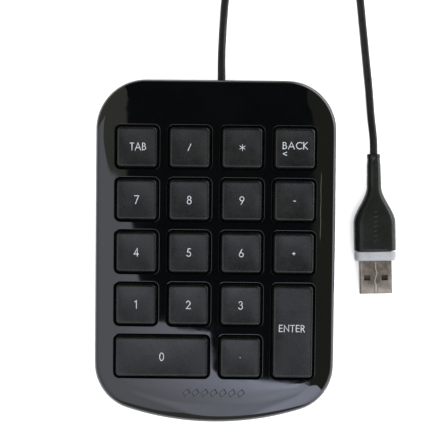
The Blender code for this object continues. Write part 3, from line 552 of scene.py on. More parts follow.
# Darker colour, lighter colour, range of roughness, grain (its height in mm), and the rest
LOOKS = {
    "cover_gloss": ((0.0007, 0.0009, 0.0009), (0.0012, 0.0013, 0.0013), (0.012, 0.030),
                    (900, 0.01, 0.010), {"spots": 60, "IOR": 1.5}),
    "keycap_charcoal": ((0.0024, 0.0025, 0.0025), (0.0056, 0.0056, 0.0052), (0.22, 0.30),
                        (6500, 0.012, 0.20), {"spots": 150, "fine": fine_grain, "Specular_IOR_Level": 0.29}),
    "legend_paint": ((0.21, 0.22, 0.23), (0.29, 0.30, 0.31), (0.45, 0.60),
                     (3000, 0.01, 0.15), {"spots": 600}),
    "tray_matte": ((0.008, 0.008, 0.0085), (0.012, 0.012, 0.012), (0.45, 0.62),
                   (2200, 0.05, 0.45), {"spots": 70, "fine": spark_grain}),
    "guide_plastic": ((0.045, 0.045, 0.046), (0.060, 0.060, 0.060), (0.50, 0.65), (1500, 0.03, 0.30), {}),
    "dome_rubber": ((0.58, 0.57, 0.53), (0.68, 0.67, 0.63), (0.50, 0.65),
                    (1800, 0.02, 0.25), {"Subsurface_Weight": 0.2, "Subsurface_Scale": 1.5 * MM}),
    "membrane_film": ((0.50, 0.55, 0.53), (0.58, 0.62, 0.59), (0.22, 0.34),
                      (700, 0.01, 0.10), {"Transmission_Weight": 0.25}),
    "wire_steel": ((0.55, 0.55, 0.56), (0.66, 0.66, 0.66), (0.22, 0.36), STEEL_GRAIN, STEEL),
    "screw_steel": ((0.34, 0.34, 0.35), (0.48, 0.48, 0.48), (0.25, 0.40), STEEL_GRAIN, STEEL),
    "plate_steel": ((0.45, 0.45, 0.46), (0.58, 0.58, 0.58), (0.28, 0.42), STEEL_GRAIN, STEEL),
    "board_laminate": ((0.012, 0.10, 0.035), (0.018, 0.15, 0.050), (0.28, 0.40),
                       (1500, 0.03, 0.4), {"spots": 200, "fine": traces}),
    "chip_resin": ((0.014, 0.014, 0.014), (0.020, 0.020, 0.020), (0.50, 0.60), (3000, 0.02, 0.4), {}),
    "foot_rubber": ((0.016, 0.016, 0.016), (0.026, 0.026, 0.026), (0.70, 0.85),
                    (1800, 0.05, 0.5), {"spots": 120}),
    "cord_jacket": ((0.0045, 0.0047, 0.0042), (0.0070, 0.0072, 0.0066), (0.26, 0.36),
                    (1500, 0.02, 0.22), {"spots": 140, "Specular_IOR_Level": 0.14}),
    "plug_body": ((0.0036, 0.0043, 0.0034), (0.0056, 0.0066, 0.0054), (0.20, 0.30),
                  (2200, 0.03, 0.22), {"spots": 110, "Specular_IOR_Level": 0.20}),
    "plug_collar": ((0.165, 0.17, 0.172), (0.20, 0.205, 0.207), (0.35, 0.48),
                    (1800, 0.02, 0.2), {"spots": 240, "Specular_IOR_Level": 0.35}),
    "plug_shell_nickel": ((0.085, 0.070, 0.056), (0.165, 0.144, 0.118), (0.28, 0.42),
                          (1600, 0.03, 0.35), {"metallic": 0.75, "spots": 420, "fine": blotches}),
    # the seam bead is coloured lighter than the shell's nickel: a painted highlight along the seam
    "plug_seam_painted_highlight": ((0.30, 0.28, 0.24), (0.42, 0.39, 0.34), (0.30, 0.42),
                       (1800, 0.02, 0.3), {"metallic": 0.5, "spots": 600}),
    "plug_tongue": ((0.012, 0.012, 0.012), (0.018, 0.018, 0.017), (0.40, 0.55), (1600, 0.02, 0.2), {}),
    "contact_gold": ((0.75, 0.50, 0.18), (0.85, 0.60, 0.25), (0.22, 0.35),
                     (1600, 0.01, 0.2), {"metallic": 1.0, "spots": 500}),
    "tie_fabric": ((0.010, 0.010, 0.011), (0.020, 0.020, 0.021), (0.80, 0.95),
                   (2600, 0.10, 0.8), {"spots": 300, "fine": weave, "Sheen_Weight": 0.3}),
    "pale_floor": ((0.95, 0.95, 0.95), (0.97, 0.97, 0.97), (0.75, 0.85), (60, 0.1, 0.05), {"spots": 3}),
}


@cache
def look(name):
    """The material of that name, made when it is first asked for."""
    dark, light, roughness, (scale, height, strength), rest = LOOKS[name]
    return make_material(name, (rgb(*dark), rgb(*light)), roughness, (scale, height * MM, strength), **rest)


# ---------------------------------------------------------------- the casing's plan

REAR_CORNER = (HALF_WIDTH - REAR_CORNER_RADIUS, HALF_LENGTH - REAR_CORNER_RADIUS)
BOW_Y = FRONT_BOW_RADIUS - HALF_LENGTH
BOW_TO_CORNER = FRONT_BOW_RADIUS - FRONT_CORNER_RADIUS
FRONT_CORNER_X = HALF_WIDTH - FRONT_CORNER_RADIUS
FRONT_CORNER_Y = BOW_Y - sqrt(BOW_TO_CORNER ** 2 - FRONT_CORNER_X ** 2)
BOW_HALF_ANGLE = acos((BOW_Y - FRONT_CORNER_Y) / BOW_TO_CORNER)
BOW_START = -pi / 2 - BOW_HALF_ANGLE
BOW_END = -pi / 2 + BOW_HALF_ANGLE

# The outline's circles, as (centre, radius)
RIGHT_REAR = (REAR_CORNER, REAR_CORNER_RADIUS)
LEFT_REAR = ((-REAR_CORNER[0], REAR_CORNER[1]), REAR_CORNER_RADIUS)
LEFT_FRONT = ((-FRONT_CORNER_X, FRONT_CORNER_Y), FRONT_CORNER_RADIUS)
RIGHT_FRONT = ((FRONT_CORNER_X, FRONT_CORNER_Y), FRONT_CORNER_RADIUS)
FRONT_BOW = ((0.0, BOW_Y), FRONT_BOW_RADIUS)


def casing_outline(inset):
    def part(centre, radius, start, end):
        return arc(centre, radius - inset, start, end, 16)

    points = part(*RIGHT_REAR, 0.0, pi / 2) + part(*LEFT_REAR, pi / 2, pi)
    points += part(*LEFT_FRONT, pi, 2 * pi + BOW_START) + part(*FRONT_BOW, BOW_START, BOW_END)[1:-1]
    return points + part(*RIGHT_FRONT, BOW_END, 0.0)


def inset_of(x, y):
    """How far a point of the plan lies inside the casing's outline."""
    x = abs(x)
    if x > REAR_CORNER[0] and y > REAR_CORNER[1]:
        return REAR_CORNER_RADIUS - hypot(x - REAR_CORNER[0], y - REAR_CORNER[1])
    to_x = x - FRONT_CORNER_X
    to_y = y - FRONT_CORNER_Y
    past_bow = to_x * (BOW_Y - FRONT_CORNER_Y) > -to_y * FRONT_CORNER_X
    if y < FRONT_CORNER_Y and past_bow and to_x > 0:
        return FRONT_CORNER_RADIUS - hypot(to_x, to_y)
    inset = min(HALF_WIDTH - x, HALF_LENGTH - y)
    if y < FRONT_CORNER_Y:
        inset = min(inset, FRONT_BOW_RADIUS - hypot(x, y - BOW_Y))
    return inset


def roll_size(y):
    """Width and depth of the edge's roll, which is larger along the front bow."""
    share = eased(clamped((BOW_ROLL_FROM_Y - y) / BOW_ROLL_LENGTH))
    width = ROLL_WIDTH + (FRONT_ROLL_WIDTH - ROLL_WIDTH) * share
    depth = ROLL_DEPTH + (FRONT_ROLL_DEPTH - ROLL_DEPTH) * share
    return width, depth


def deck_height(x, y):
    """Height of the cover's outside over the deck plane."""
    width, depth = roll_size(y)
    t = clamped((width - (inset_of(x, y) - SKIRT_DRAFT)) / width)
    return -depth * (1 - (1 - t ** ROLL_POWER) ** (1 / ROLL_POWER))


def on_deck(points, drop=0.0):
    return [(p.x, p.y, deck_height(p.x, p.y) - drop) for p in points]


def over_table(plan, height):
    """The plan's points, at the deck z where they stand this high over the table."""
    lifts = [(DECK @ Vector((0.0, y, 0.0))).z for _, y in plan]
    return [(x, y, (height - lift) / cos(DECK_TILT)) for (x, y), lift in zip(plan, lifts)]


# ---------------------------------------------------------------- top cover

def side_points(start, end, corner, edges):
    """Points of one side of a rounded cell, from the middle of one corner to the next.

    start and end are the sharp corners, and corner is the radius, 0 for a plain cell.
    """
    start = Vector(start)
    end = Vector(end)
    along = (end - start).normalized()
    inward = Vector((-along.y, along.x))
    length = (end - start).length

    def on_corner(sharp, ahead, share):
        """A point of a corner's rounding, from its middle (share 0) to the straight part."""
        turn = pi / 4 * (1 - share)
        centre = sharp + (ahead + inward) * corner
        return centre - inward * corner * cos(turn) - ahead * corner * sin(turn)

    points = []
    for k in range(edges):
        if not corner:
            points.append(start + along * length * k / edges)
        elif k < CORNER_EDGES:
            points.append(on_corner(start, along, k / CORNER_EDGES))
        elif k <= edges - CORNER_EDGES:
            share = (k - CORNER_EDGES) / (edges - 2 * CORNER_EDGES)
            points.append(start + along * (corner + (length - 2 * corner) * share))
        else:
            points.append(on_corner(end, -along, (edges - k) / CORNER_EDGES))
    return points


def cell_ring(middle, half, corner, edges):
    """A ring of points round a cell, anticlockwise, with so many edges to each side."""
    signs = ((-1, -1), (1, -1), (1, 1), (-1, 1))
    corners = [(middle[0] + a * half[0], middle[1] + b * half[1]) for a, b in signs]
    ring = []
    for i in range(4):
        ring += side_points(corners[i], corners[(i + 1) % 4], corner, edges[i % 2])
    return ring


def cell_rings(name):
    """Rings of one key's cell: flat margin, filleted rim, well wall and the ceiling below."""
    middle, half = KEY_PLANS[name]
    spans = [round(2 * (h + KEY_MARGIN) / KEY_PITCH) for h in half]
    cell_half = (spans[0] * KEY_PITCH / 2, spans[1] * KEY_PITCH / 2)
    edges = (spans[0] * EDGES_PER_PITCH, spans[1] * EDGES_PER_PITCH)
    well = (half[0] + WELL_CLEARANCE, half[1] + WELL_CLEARANCE)

    def rim(outset):
        return cell_ring(middle, (well[0] + outset, well[1] + outset), WELL_CORNER + outset, edges)

    edge_ring = cell_ring(middle, cell_half, 0.0, edges)
    rings = [on_deck(edge_ring), on_deck(rim(1.0 * MM)), on_deck(rim(WELL_FILLET + 0.12 * MM))]
    steps = 5
    for k in range(steps + 1):
        angle = pi / 2 * k / steps
        outset = WELL_FILLET * (1 - sin(angle))
        rings.append(on_deck(rim(outset), WELL_FILLET * (1 - cos(angle))))
    rings.append(at_depth(rim(0.0), -COVER_THICKNESS))
    rings.append(at_depth(edge_ring, -COVER_THICKNESS))
    return rings


def outline_sides():
    """The outline's four sides, from the middle of one corner to the next, as dense points."""
    steps = 24
    right_mid = BOW_END / 2
    left_mid = pi - right_mid
    front = arc(*LEFT_FRONT, left_mid, 2 * pi + BOW_START, steps)
    front += arc(*FRONT_BOW, BOW_START, BOW_END, 60)[1:-1]
    front += arc(*RIGHT_FRONT, BOW_END, right_mid, steps)
    right = arc(*RIGHT_FRONT, right_mid, 0.0, steps) + arc(*RIGHT_REAR, 0.0, pi / 4, steps)
    rear = arc(*RIGHT_REAR, pi / 4, pi / 2, steps) + arc(*LEFT_REAR, pi / 2, 3 * pi / 4, steps)
    left = arc(*LEFT_REAR, 3 * pi / 4, pi, steps) + arc(*LEFT_FRONT, pi, left_mid, steps)
    return front, right, rear, left


def spaced(points, count):
    """count points at even arc length along a polyline, without its last point."""
    path = [Vector(p) for p in points]
    lengths = [0.0]
    for a, b in zip(path, path[1:]):
        lengths.append(lengths[-1] + (b - a).length)
    found = []
    place = 0
    for k in range(count):
        target = lengths[-1] * k / count
        while lengths[place + 1] < target:
            place += 1
        share = (target - lengths[place]) / (lengths[place + 1] - lengths[place])
        found.append(path[place].lerp(path[place + 1], share))
    return found


def point_at_inset(inner, outer, inset):
    """The point on the line from inner to outer that lies this far inside the outline."""
    low, high = 0.0, 1.15
    for _ in range(30):
        middle = (low + high) / 2
        point = inner.lerp(outer, middle)
        if inset_of(point.x, point.y) > inset:
            low = middle
        else:
            high = middle
    return inner.lerp(outer, low)


def grid_box():
    """The rectangle that all the keys' cells fill, as its low and high corner."""
    plans = KEY_PLANS.values()
    low = [min(middle[i] - half[i] for middle, half in plans) - KEY_MARGIN for i in (0, 1)]
    high = [max(middle[i] + half[i] for middle, half in plans) + KEY_MARGIN for i in (0, 1)]
    return low, high


def border_rings():
    """Rings from the key grid's edge over the roll, down the skirt and back inside."""
    low, high = grid_box()
    middle = [(a + b) / 2 for a, b in zip(low, high)]
    half = [(b - a) / 2 for a, b in zip(low, high)]
    edges = [round((b - a) / KEY_PITCH) * EDGES_PER_PITCH for a, b in zip(low, high)]
    inner = cell_ring(middle, half, 0.0, edges)
    outer = []
    for side, count in zip(outline_sides(), edges * 2):
        outer += spaced(side, count)
    starts = [inset_of(p.x, p.y) for p in inner]
    bends = [min(start, 2.85 * MM) for start in starts]
    skirts = [SKIRT_DRAFT] * len(inner)

    def between(nearer, farther, share):
        lines = zip(inner, outer, nearer, farther)
        return on_deck([point_at_inset(p, q, a + (b - a) * share) for p, q, a, b in lines])

    rings = [on_deck(inner)]
    rings += [between(starts, bends, k / 5) for k in range(1, 6)]
    rings += [between(bends, skirts, sin(pi / 2 * k / 14)) for k in range(1, 15)]
    for inset, z in (
        (0.12 * MM, -5.8 * MM),
        (0.0, PARTING_BEVEL - PARTING_DEPTH),
        (PARTING_BEVEL, -PARTING_DEPTH),
        (SKIRT_THICKNESS, -PARTING_DEPTH),
        (SKIRT_THICKNESS, -COVER_THICKNESS - 2.2 * MM),
        (SKIRT_THICKNESS + 0.7 * MM, -COVER_THICKNESS - 0.7 * MM),
    ):
        rings.append(at_depth([point_at_inset(p, q, inset) for p, q in zip(inner, outer)], z))
    rings.append(at_depth(inner, -COVER_THICKNESS))
    return rings


def make_top_cover():
    shape = Shape()
    for name in KEY_NAMES:
        shape.loft(cell_rings(name), caps=False)
    shape.loft(border_rings(), caps=False)
    add_piece(
        "top_cover_shell", shape.moved(DECK), "cover_gloss", ["top_cover"],
        merge=0.002 * MM, smooth_angle=50,
    )


def make_lip_pattern():
    """A row of plain raised lozenge outlines on the lip in front of the keys."""
    shape = Shape()
    for k in range(-3, 4):
        outline = [(1.25 * MM, 0.0), (0.5 * MM, 1.45 * MM), (-1.25 * MM, 0.0), (-0.5 * MM, -1.45 * MM)]
        points = [(k * 3.3 * MM + x, LIP_PATTERN_Y + y) for x, y in outline]
        ribbon(shape, points + points[:1], 0.42 * MM, deck_height, 0.05 * MM)
    add_piece("top_cover_lip_pattern", shape.moved(DECK), "cover_gloss", smooth_angle=30)


# ---------------------------------------------------------------- keycaps and legends

def cap_height(name, x, y):
    """Height of a keycap's dished top over the deck, at a point from its middle."""
    half = KEY_PLANS[name][1]
    across = min(1.0, abs(x) / (half[0] - KEY_TAPER - KEY_RIM))
    along = min(1.0, abs(y) / (half[1] - KEY_TAPER - KEY_RIM))
    return KEY_RISE - KEY_DISH * (1 - across ** 4) * (1 - along ** 2)


def with_points_on_sides(ring, pieces):
    """A rounded rectangle's ring with each straight side split into equal pieces."""
    corner_points = len(ring) // 4
    points = []
    for i, point in enumerate(ring):
        points.append(point)
        if (i + 1) % corner_points:
            continue
        following = ring[(i + 1) % len(ring)]
        for k in range(1, pieces):
            share = k / pieces
            points.append(tuple(a + (b - a) * share for a, b in zip(point, following)))
    return points


def keycap_rings(name):
    """Rings of a cap: its inside, flange, side, rim and, from the edge inwards, the dished top."""
    half = KEY_PLANS[name][1]
    flange_top = -COVER_THICKNESS - SLIP
    flange_foot = flange_top - FLANGE_THICKNESS
    ceiling = KEY_RISE - KEY_WALL - KEY_DISH
    rim_foot = KEY_RISE - KEY_RIM_DROP
    edge = KEY_TAPER + KEY_RIM

    def ring(inset, z, corner=None):
        radius = corner or max(KEY_CORNER - inset, 0.3 * MM)
        return at_depth(rounded_rectangle(half[0] - inset, half[1] - inset, radius, 7), z)

    profile = (
        (KEY_WALL, ceiling), (KEY_WALL, flange_foot),
        (-FLANGE_REACH + 0.1 * MM, flange_foot), (-FLANGE_REACH, flange_foot + 0.1 * MM),
        (-FLANGE_REACH, flange_top - 0.1 * MM), (-FLANGE_REACH + 0.1 * MM, flange_top),
        (-0.62 * MM, flange_top), (-0.56 * MM, flange_top - 0.05 * MM),
        (-0.30 * MM, flange_top - 0.55 * MM), (-0.02 * MM, flange_top - 0.05 * MM),
        (0.0, flange_top + 0.1 * MM), (0.0, -1.2 * MM), (KEY_TAPER - 0.10 * MM, -0.8 * MM),
        (KEY_TAPER - 0.04 * MM, rim_foot - 0.16 * MM), (KEY_TAPER, rim_foot - 0.05 * MM),
        (KEY_TAPER + 0.06 * MM, rim_foot + 0.02 * MM), (KEY_TAPER + 0.12 * MM, rim_foot + 0.07 * MM),
        (edge - 0.11 * MM, KEY_RISE - 0.06 * MM), (edge - 0.03 * MM, KEY_RISE - 0.015 * MM),
    )
    rings = [with_points_on_sides(ring(*spot), KEY_SIDE_PIECES) for spot in profile]
    for inset in (1.05, 1.4, 2.0, 2.6, 3.3, 4.1, 5.0, 5.9, 6.7, 7.2, 7.4):
        corner = min(0.3 * MM, (min(half) - inset * MM) / 2)
        flat = with_points_on_sides(ring(inset * MM, 0.0, corner), KEY_SIDE_PIECES)
        rings.append([(x, y, cap_height(name, x, y)) for x, y, _ in flat])
    return rings


def stem_rings():
    """The square stem below a cap, with a small chamfer at its foot."""
    rings = []
    for inset, z in ((0.3, -6.2), (0.0, -5.9), (0.0, 1.2)):
        plan = rounded_rectangle((2.2 - inset) * MM, (2.2 - inset) * MM, 0.4 * MM, 3)
        rings.append(at_depth(plan, z * MM))
    return rings


def make_keycap(name):
    shape = Shape(keycap_rings(name))
    middle, half = KEY_PLANS[name]
    place = on_deck_at(middle)
    cap = add_piece(
        "cap_" + name, shape.moved(place), "keycap_charcoal", ["key_" + name],
        "keycap", "keycap_" + name, smooth_angle=40,
    )
    stem = Shape(stem_rings())
    for sign in (-1, 1):
        if half[0] > half[1] + MM or half[1] > half[0] + MM:
            stem.loft(clip_rings(name, sign))
    cut(cap, stem.moved(place), "UNION")


def clip_rings(name, sign):
    """A post under a long cap that the stabiliser bar's hook slides in."""
    wide = KEY_PLANS[name][1][0] > KEY_PLANS[name][1][1]
    x_range = (sign * CLIP_OFFSET - 0.7 * MM, sign * CLIP_OFFSET + 0.7 * MM)
    y_range = (1.4 * MM, 4.4 * MM)
    if not wide:
        x_range, y_range = y_range, x_range
    return box_rings(x_range, y_range, (-3.7 * MM, 1.3 * MM), 0.1 * MM)


def arc_stroke(centre_x, centre_y, radius_x, radius_y, start, end, steps=14):
    """An arc of a letter, with its angles in degrees."""
    points = []
    for i in range(steps + 1):
        angle = radians(start + (end - start) * i / steps)
        points.append((centre_x + radius_x * cos(angle), centre_y + radius_y * sin(angle)))
    return points


# Letters as (width, strokes), with a cap height of 1
GLYPHS = {
    "0": (0.56, [arc_stroke(0.28, 0.5, 0.24, 0.46, 90, 450, 28)]),
    "1": (0.30, [[(0.02, 0.80), (0.22, 0.96), (0.22, 0.02)]]),
    "2": (0.56, [arc_stroke(0.27, 0.70, 0.23, 0.26, 165, -38) + [(0.05, 0.05), (0.55, 0.05)]]),
    "3": (0.54, [
        arc_stroke(0.25, 0.745, 0.19, 0.215, 165, -90) + [(0.20, 0.53)],
        arc_stroke(0.25, 0.28, 0.23, 0.25, 90, -165),
    ]),
    "4": (0.60, [[(0.43, 0.0), (0.43, 0.95), (0.04, 0.25), (0.58, 0.25)]]),
    "5": (0.54, [
        [(0.48, 0.95), (0.19, 0.95), (0.12, 0.56)] + arc_stroke(0.25, 0.31, 0.25, 0.27, 118, -150),
    ]),
    "6": (0.56, [[(0.37, 0.97), (0.07, 0.42)], arc_stroke(0.28, 0.29, 0.24, 0.25, 0, 360, 28)]),
    "7": (0.54, [[(0.02, 0.95), (0.50, 0.95), (0.14, 0.0)]]),
    "8": (0.54, [
        arc_stroke(0.27, 0.745, 0.19, 0.21, 0, 360, 24),
        arc_stroke(0.27, 0.28, 0.23, 0.25, 0, 360, 28),
    ]),
    "9": (0.56, [[(0.19, 0.03), (0.49, 0.58)], arc_stroke(0.28, 0.71, 0.24, 0.25, 0, 360, 28)]),
    "A": (0.74, [[(0.02, 0.0), (0.37, 0.98), (0.72, 0.0)], [(0.15, 0.33), (0.59, 0.33)]]),
    "B": (0.50, [
        [(0.06, 0.0), (0.06, 0.95), (0.20, 0.95)] + arc_stroke(0.20, 0.745, 0.20, 0.205, 90, -90)
        + [(0.06, 0.54)],
        [(0.20, 0.54)] + arc_stroke(0.24, 0.295, 0.22, 0.245, 90, -90) + [(0.06, 0.05)],
    ]),
    "C": (0.68, [arc_stroke(0.46, 0.5, 0.41, 0.46, 52, 308, 24)]),
    "E": (0.44, [[(0.42, 0.95), (0.06, 0.95), (0.06, 0.05), (0.42, 0.05)], [(0.06, 0.52), (0.40, 0.52)]]),
    "K": (0.54, [[(0.06, 0.0), (0.06, 1.0)], [(0.47, 1.0), (0.08, 0.50), (0.52, 0.0)]]),
    "N": (0.66, [[(0.06, 0.0), (0.06, 0.95), (0.60, 0.05), (0.60, 1.0)]]),
    "R": (0.50, [
        [(0.06, 0.0), (0.06, 0.95), (0.20, 0.95)] + arc_stroke(0.20, 0.72, 0.21, 0.23, 90, -90)
        + [(0.06, 0.49)],
        [(0.22, 0.49), (0.47, 0.0)],
    ]),
    "T": (0.48, [[(0.0, 0.95), (0.48, 0.95)], [(0.24, 0.95), (0.24, 0.0)]]),
    "<": (1.0, [[(0.95, 0.90), (0.08, 0.5), (0.95, 0.10)]]),
    "/": (0.52, [[(0.04, 0.0), (0.48, 1.0)]]),
    "*": (0.9, [
        [(0.45, 0.05), (0.45, 0.95)],
        [(0.07, 0.28), (0.83, 0.72)],
        [(0.07, 0.72), (0.83, 0.28)],
    ]),
    "-": (0.50, [[(0.05, 0.5), (0.45, 0.5)]]),
    "+": (0.62, [[(0.04, 0.5), (0.58, 0.5)], [(0.31, 0.23), (0.31, 0.77)]]),
    ".": (0.12, [[(0.03, 0.5), (0.09, 0.5)]]),
}


def word_strokes(text, height, width):
    """The strokes of a word about its own middle, in millimetres, with a gap between its letters."""
    gap = 0.15
    glyphs = [GLYPHS[letter] for letter in text]
    natural = sum(w for w, _ in glyphs) + gap * (len(glyphs) - 1)
    stretch = width / natural if width else height
    strokes = []
    pen = -natural / 2
    for letter_width, parts in glyphs:
        for part in parts:
            strokes.append([((pen + x) * stretch, (y - 0.5) * height) for x, y in part])
        pen += letter_width + gap
    return strokes


def ribbon(shape, points, stroke, height_at, crest=0.0):
    """A painted stroke with round ends laid on a surface, or a sloping ridge with that crest."""
    path = [Vector(p) for p in points]
    closed = (path[0] - path[-1]).length < 1e-6
    if closed:
        path = path[:-1]
    half = stroke / 2
    count = len(path)
    left, right = [], []
    for i, point in enumerate(path):
        before = path[(i - 1) % count] if closed or i else point
        after = path[(i + 1) % count] if closed or i < count - 1 else point
        incoming = (point - before).normalized() if point != before else (after - point).normalized()
        outgoing = (after - point).normalized() if point != after else incoming
        heading = (incoming + outgoing).normalized()
        side = Vector((-heading.y, heading.x))
        reach = half / max(0.5, heading.dot(outgoing))
        left.append(point + side * reach)
        right.append(point - side * reach)
    if not closed:
        for k in (1, 2):
            turn = radians(30 * k)
            for end, inner, sign in ((0, 1, 1), (-1, -2, -1)):
                away = (path[end] - path[inner]).normalized()
                tip = path[end] + away * half * sin(turn)
                across = Vector((-away.y, away.x)) * half * cos(turn) * sign
                for edge, spot in ((left, tip - across), (right, tip + across)):
                    edge.insert(0 if end == 0 else len(edge), spot)
    rings = []
    rise = 2 * LEGEND_PROUD + crest
    for a, b in zip(left, right):
        bottom_a = height_at(a.x, a.y) - LEGEND_PROUD
        bottom_b = height_at(b.x, b.y) - LEGEND_PROUD
        top_a, top_b = (a.lerp(b, 0.38), b.lerp(a, 0.38)) if crest else (a, b)
        rings.append([
            (a.x, a.y, bottom_a),
            (top_a.x, top_a.y, bottom_a + rise),
            (top_b.x, top_b.y, bottom_b + rise),
            (b.x, b.y, bottom_b),
        ])
    shape.loft(rings, caps=not closed, ring_of_rings=closed)


def make_legend(name):
    texts = LEGENDS.get(name, ((name, DIGIT_HEIGHT, None, (0.0, 0.0)),))
    shape = Shape()
    for text, height, width, offset in texts:
        for stroke in word_strokes(text, height, width):
            points = [((x + offset[0]) * MM, (y + offset[1]) * MM) for x, y in stroke]
            stroke_width = LEGEND_STROKE * (0.75 if text == "*" else 1.0)
            ribbon(shape, points, stroke_width, lambda x, y: cap_height(name, x, y))
    add_piece(
        "legend_" + name, shape.moved(on_deck_at(KEY_PLANS[name][0])), "legend_paint",
        slot="keycap", body="keycap_" + name, smooth_angle=30,
    )


# ---------------------------------------------------------------- bottom cover, feet and screws

def node_plan(node):
    low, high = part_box(node)
    return (low + high) / 2, (high - low) / 2


def tray_rings():
    """Rings of the tray: floor, inside wall, lip, parting edge, outside wall and underside."""
    floor_top = 2.6 * MM
    underside = 1.0 * MM
    lip_in, lip_out = 2.7 * MM, 1.9 * MM
    lip_top = 1.0 * MM - PARTING_DEPTH

    def level(inset, height):
        return over_table(casing_outline(inset), height)

    seam = -PARTING_DEPTH - SLIP
    rings = [
        level(lip_in + 0.8 * MM, floor_top),
        level(lip_in, floor_top + 0.8 * MM),
        at_depth(casing_outline(lip_in), lip_top),
        at_depth(casing_outline(lip_out), lip_top),
        at_depth(casing_outline(lip_out), seam),
        at_depth(casing_outline(PARTING_BEVEL), seam),
        at_depth(casing_outline(0.0), seam - PARTING_BEVEL),
    ]
    wall_foot = underside + 2.4 * MM
    rings.append(level(0.6 * MM, wall_foot))
    steps = 6
    for k in range(1, steps + 1):
        angle = pi / 2 * k / steps
        inset = 0.6 * MM + 1.9 * MM * (1 - cos(angle))
        rings.append(level(inset, wall_foot - 2.4 * MM * sin(angle)))
    return rings


def screw_spots():
    """Deck positions of the casing screws."""
    spots = {}
    for node in frame["nodes"]:
        if node.startswith("casing_screw_"):
            low, high = tilted_box(node)
            spots[node] = ((low.x + high.x) / 2, (low.y + high.y) / 2 - DECK_MIDDLE_Y)
    return spots


def make_bottom_cover():
    shape = Shape(tray_rings())
    tray = add_piece(
        "bottom_cover_tray", shape.moved(DECK), "tray_matte", ["bottom_cover"],
        smooth_angle=40,
    )
    inside = Shape()
    plate_foot = tilted_box("back_plate")[0].z - DECK_Z

    for x, rear_end in ((-35, 44), (-12, 18), (12, 18), (35, 44)):
        plan = [((x - 0.8) * MM, -46 * MM), ((x + 0.8) * MM, -46 * MM),
                ((x + 0.8) * MM, rear_end * MM), ((x - 0.8) * MM, rear_end * MM)]
        inside.loft([over_table(plan, 1.8 * MM), at_depth(plan, plate_foot - SLIP)])
    board, board_half = node_plan("controller_board")
    reach = (board_half.x - 3 * MM, board_half.y - 3 * MM)
    for sign_x, sign_y in ((-1, -1), (-1, 1), (1, -1), (1, 1)):
        plan = circle(1.6 * MM, 20, (board.x + sign_x * reach[0], board.y + sign_y * reach[1]))
        inside.loft([over_table(plan, 1.8 * MM), over_table(plan, board.z - board_half.z - SLIP)])
    for spot in screw_spots().values():
        plan = circle(3.7 * MM, 32, spot)
        inside.loft([over_table(plan, 1.8 * MM), at_depth(plan, -8.7 * MM)])
    cut(tray, inside.moved(DECK), "UNION")
    for radius, top in ((1.5 * MM, 0.0), (2.8 * MM, -11.3 * MM)):
        holes = Shape()
        for spot in screw_spots().values():
            holes.prism(circle(radius, 32, spot), -30 * MM, top)
        cut(tray, holes.moved(DECK))
    return tray


def cut_tray_from_outside(tray):
    """Foot recesses, a shallow framed panel and the cord's exit, all in world coordinates."""
    recesses = Shape()
    for node in ("foot_front", "foot_rear"):
        middle, half = node_plan(node)
        plan = rounded_rectangle(half.x + SLIP, half.y + SLIP, half.y, 10, (middle.x, middle.y))
        recesses.prism(plan, -1 * MM, 1.5 * MM)
    frame_plan = rounded_rectangle(24 * MM, 15 * MM, 3 * MM, 8, (0.0, 2 * MM))
    recesses.prism(frame_plan, -1 * MM, 1.25 * MM)
    cut(tray, recesses)
    exit_hole = Shape()
    across = circle(1.75 * MM, 32, (LEAD_ROUTE[0][0], LEAD_ROUTE[0][2]))
    ends = (HALF_LENGTH - 6 * MM, HALF_LENGTH + 6 * MM)
    exit_hole.loft([[(x, y, z) for x, z in across] for y in ends])
    cut(tray, exit_hole)


def make_feet():
    for node in ("foot_front", "foot_rear"):
        middle, half = node_plan(node)
        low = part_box(node)[0].z
        shape = Shape()
        rings = []
        for inset, z in ((0.35, 0.0), (0.1, 0.1), (0.0, 0.35), (0.0, 1.15), (0.05, 1.2)):
            wide, long = half.x - inset * MM, half.y - inset * MM
            plan = rounded_rectangle(wide, long, long, 10, (middle.x, middle.y))
            rings.append(at_depth(plan, low + z * MM))
        shape.loft(rings)
        foot = add_piece(node + "_pad", shape, "foot_rubber", [node])
        grooves = Shape()
        y_range = (middle.y - half.y + 0.9 * MM, middle.y + half.y - 0.9 * MM)
        for k in range(-5, 6):
            x = middle.x + k * 4.2 * MM
            x_range = (x - 0.3 * MM, x + 0.3 * MM)
            grooves.loft(box_rings(x_range, y_range, (low - 0.5 * MM, low + 0.2 * MM)))
        cut(foot, grooves)


def make_screws():
    head = ((0.9, 0.0), (1.7, 0.06), (2.15, 0.22), (2.4, 0.55), (2.4, 1.35), (2.35, 1.4), (1.25, 1.4))
    turns = 9
    for node, spot in screw_spots().items():
        low, high = tilted_box(node)
        head_foot = low.z - DECK_Z
        tip = high.z - DECK_Z
        profile = [(radius, head_foot + z * MM) for radius, z in head]
        thread = tip - 1.0 * MM - (head_foot + 1.4 * MM)
        for k in range(turns):
            z = head_foot + 1.5 * MM + thread * k / turns
            profile += [(0.95, z), (1.2, z + 0.25 * MM), (0.95, z + 0.5 * MM)]
        profile += [(0.8, tip - 0.5 * MM), (0.3, tip)]
        shape = Shape([at_depth(circle(radius * MM, 32), z) for radius, z in profile])
        place = on_deck_at(spot)
        screw = add_piece(node + "_steel", shape.moved(place), "screw_steel", [node])
        for wide, long in ((1.4, 0.32), (0.32, 1.4)):
            mouth = rounded_rectangle(wide * MM, long * MM, 0.1 * MM, 2)
            bottom = rounded_rectangle(wide * 0.6 * MM, long * 0.6 * MM, 0.05 * MM, 2)
            cross = Shape([at_depth(mouth, head_foot - 0.5 * MM), at_depth(bottom, head_foot + 0.9 * MM)])
            cut(screw, cross.moved(place))


# ---------------------------------------------------------------- inside

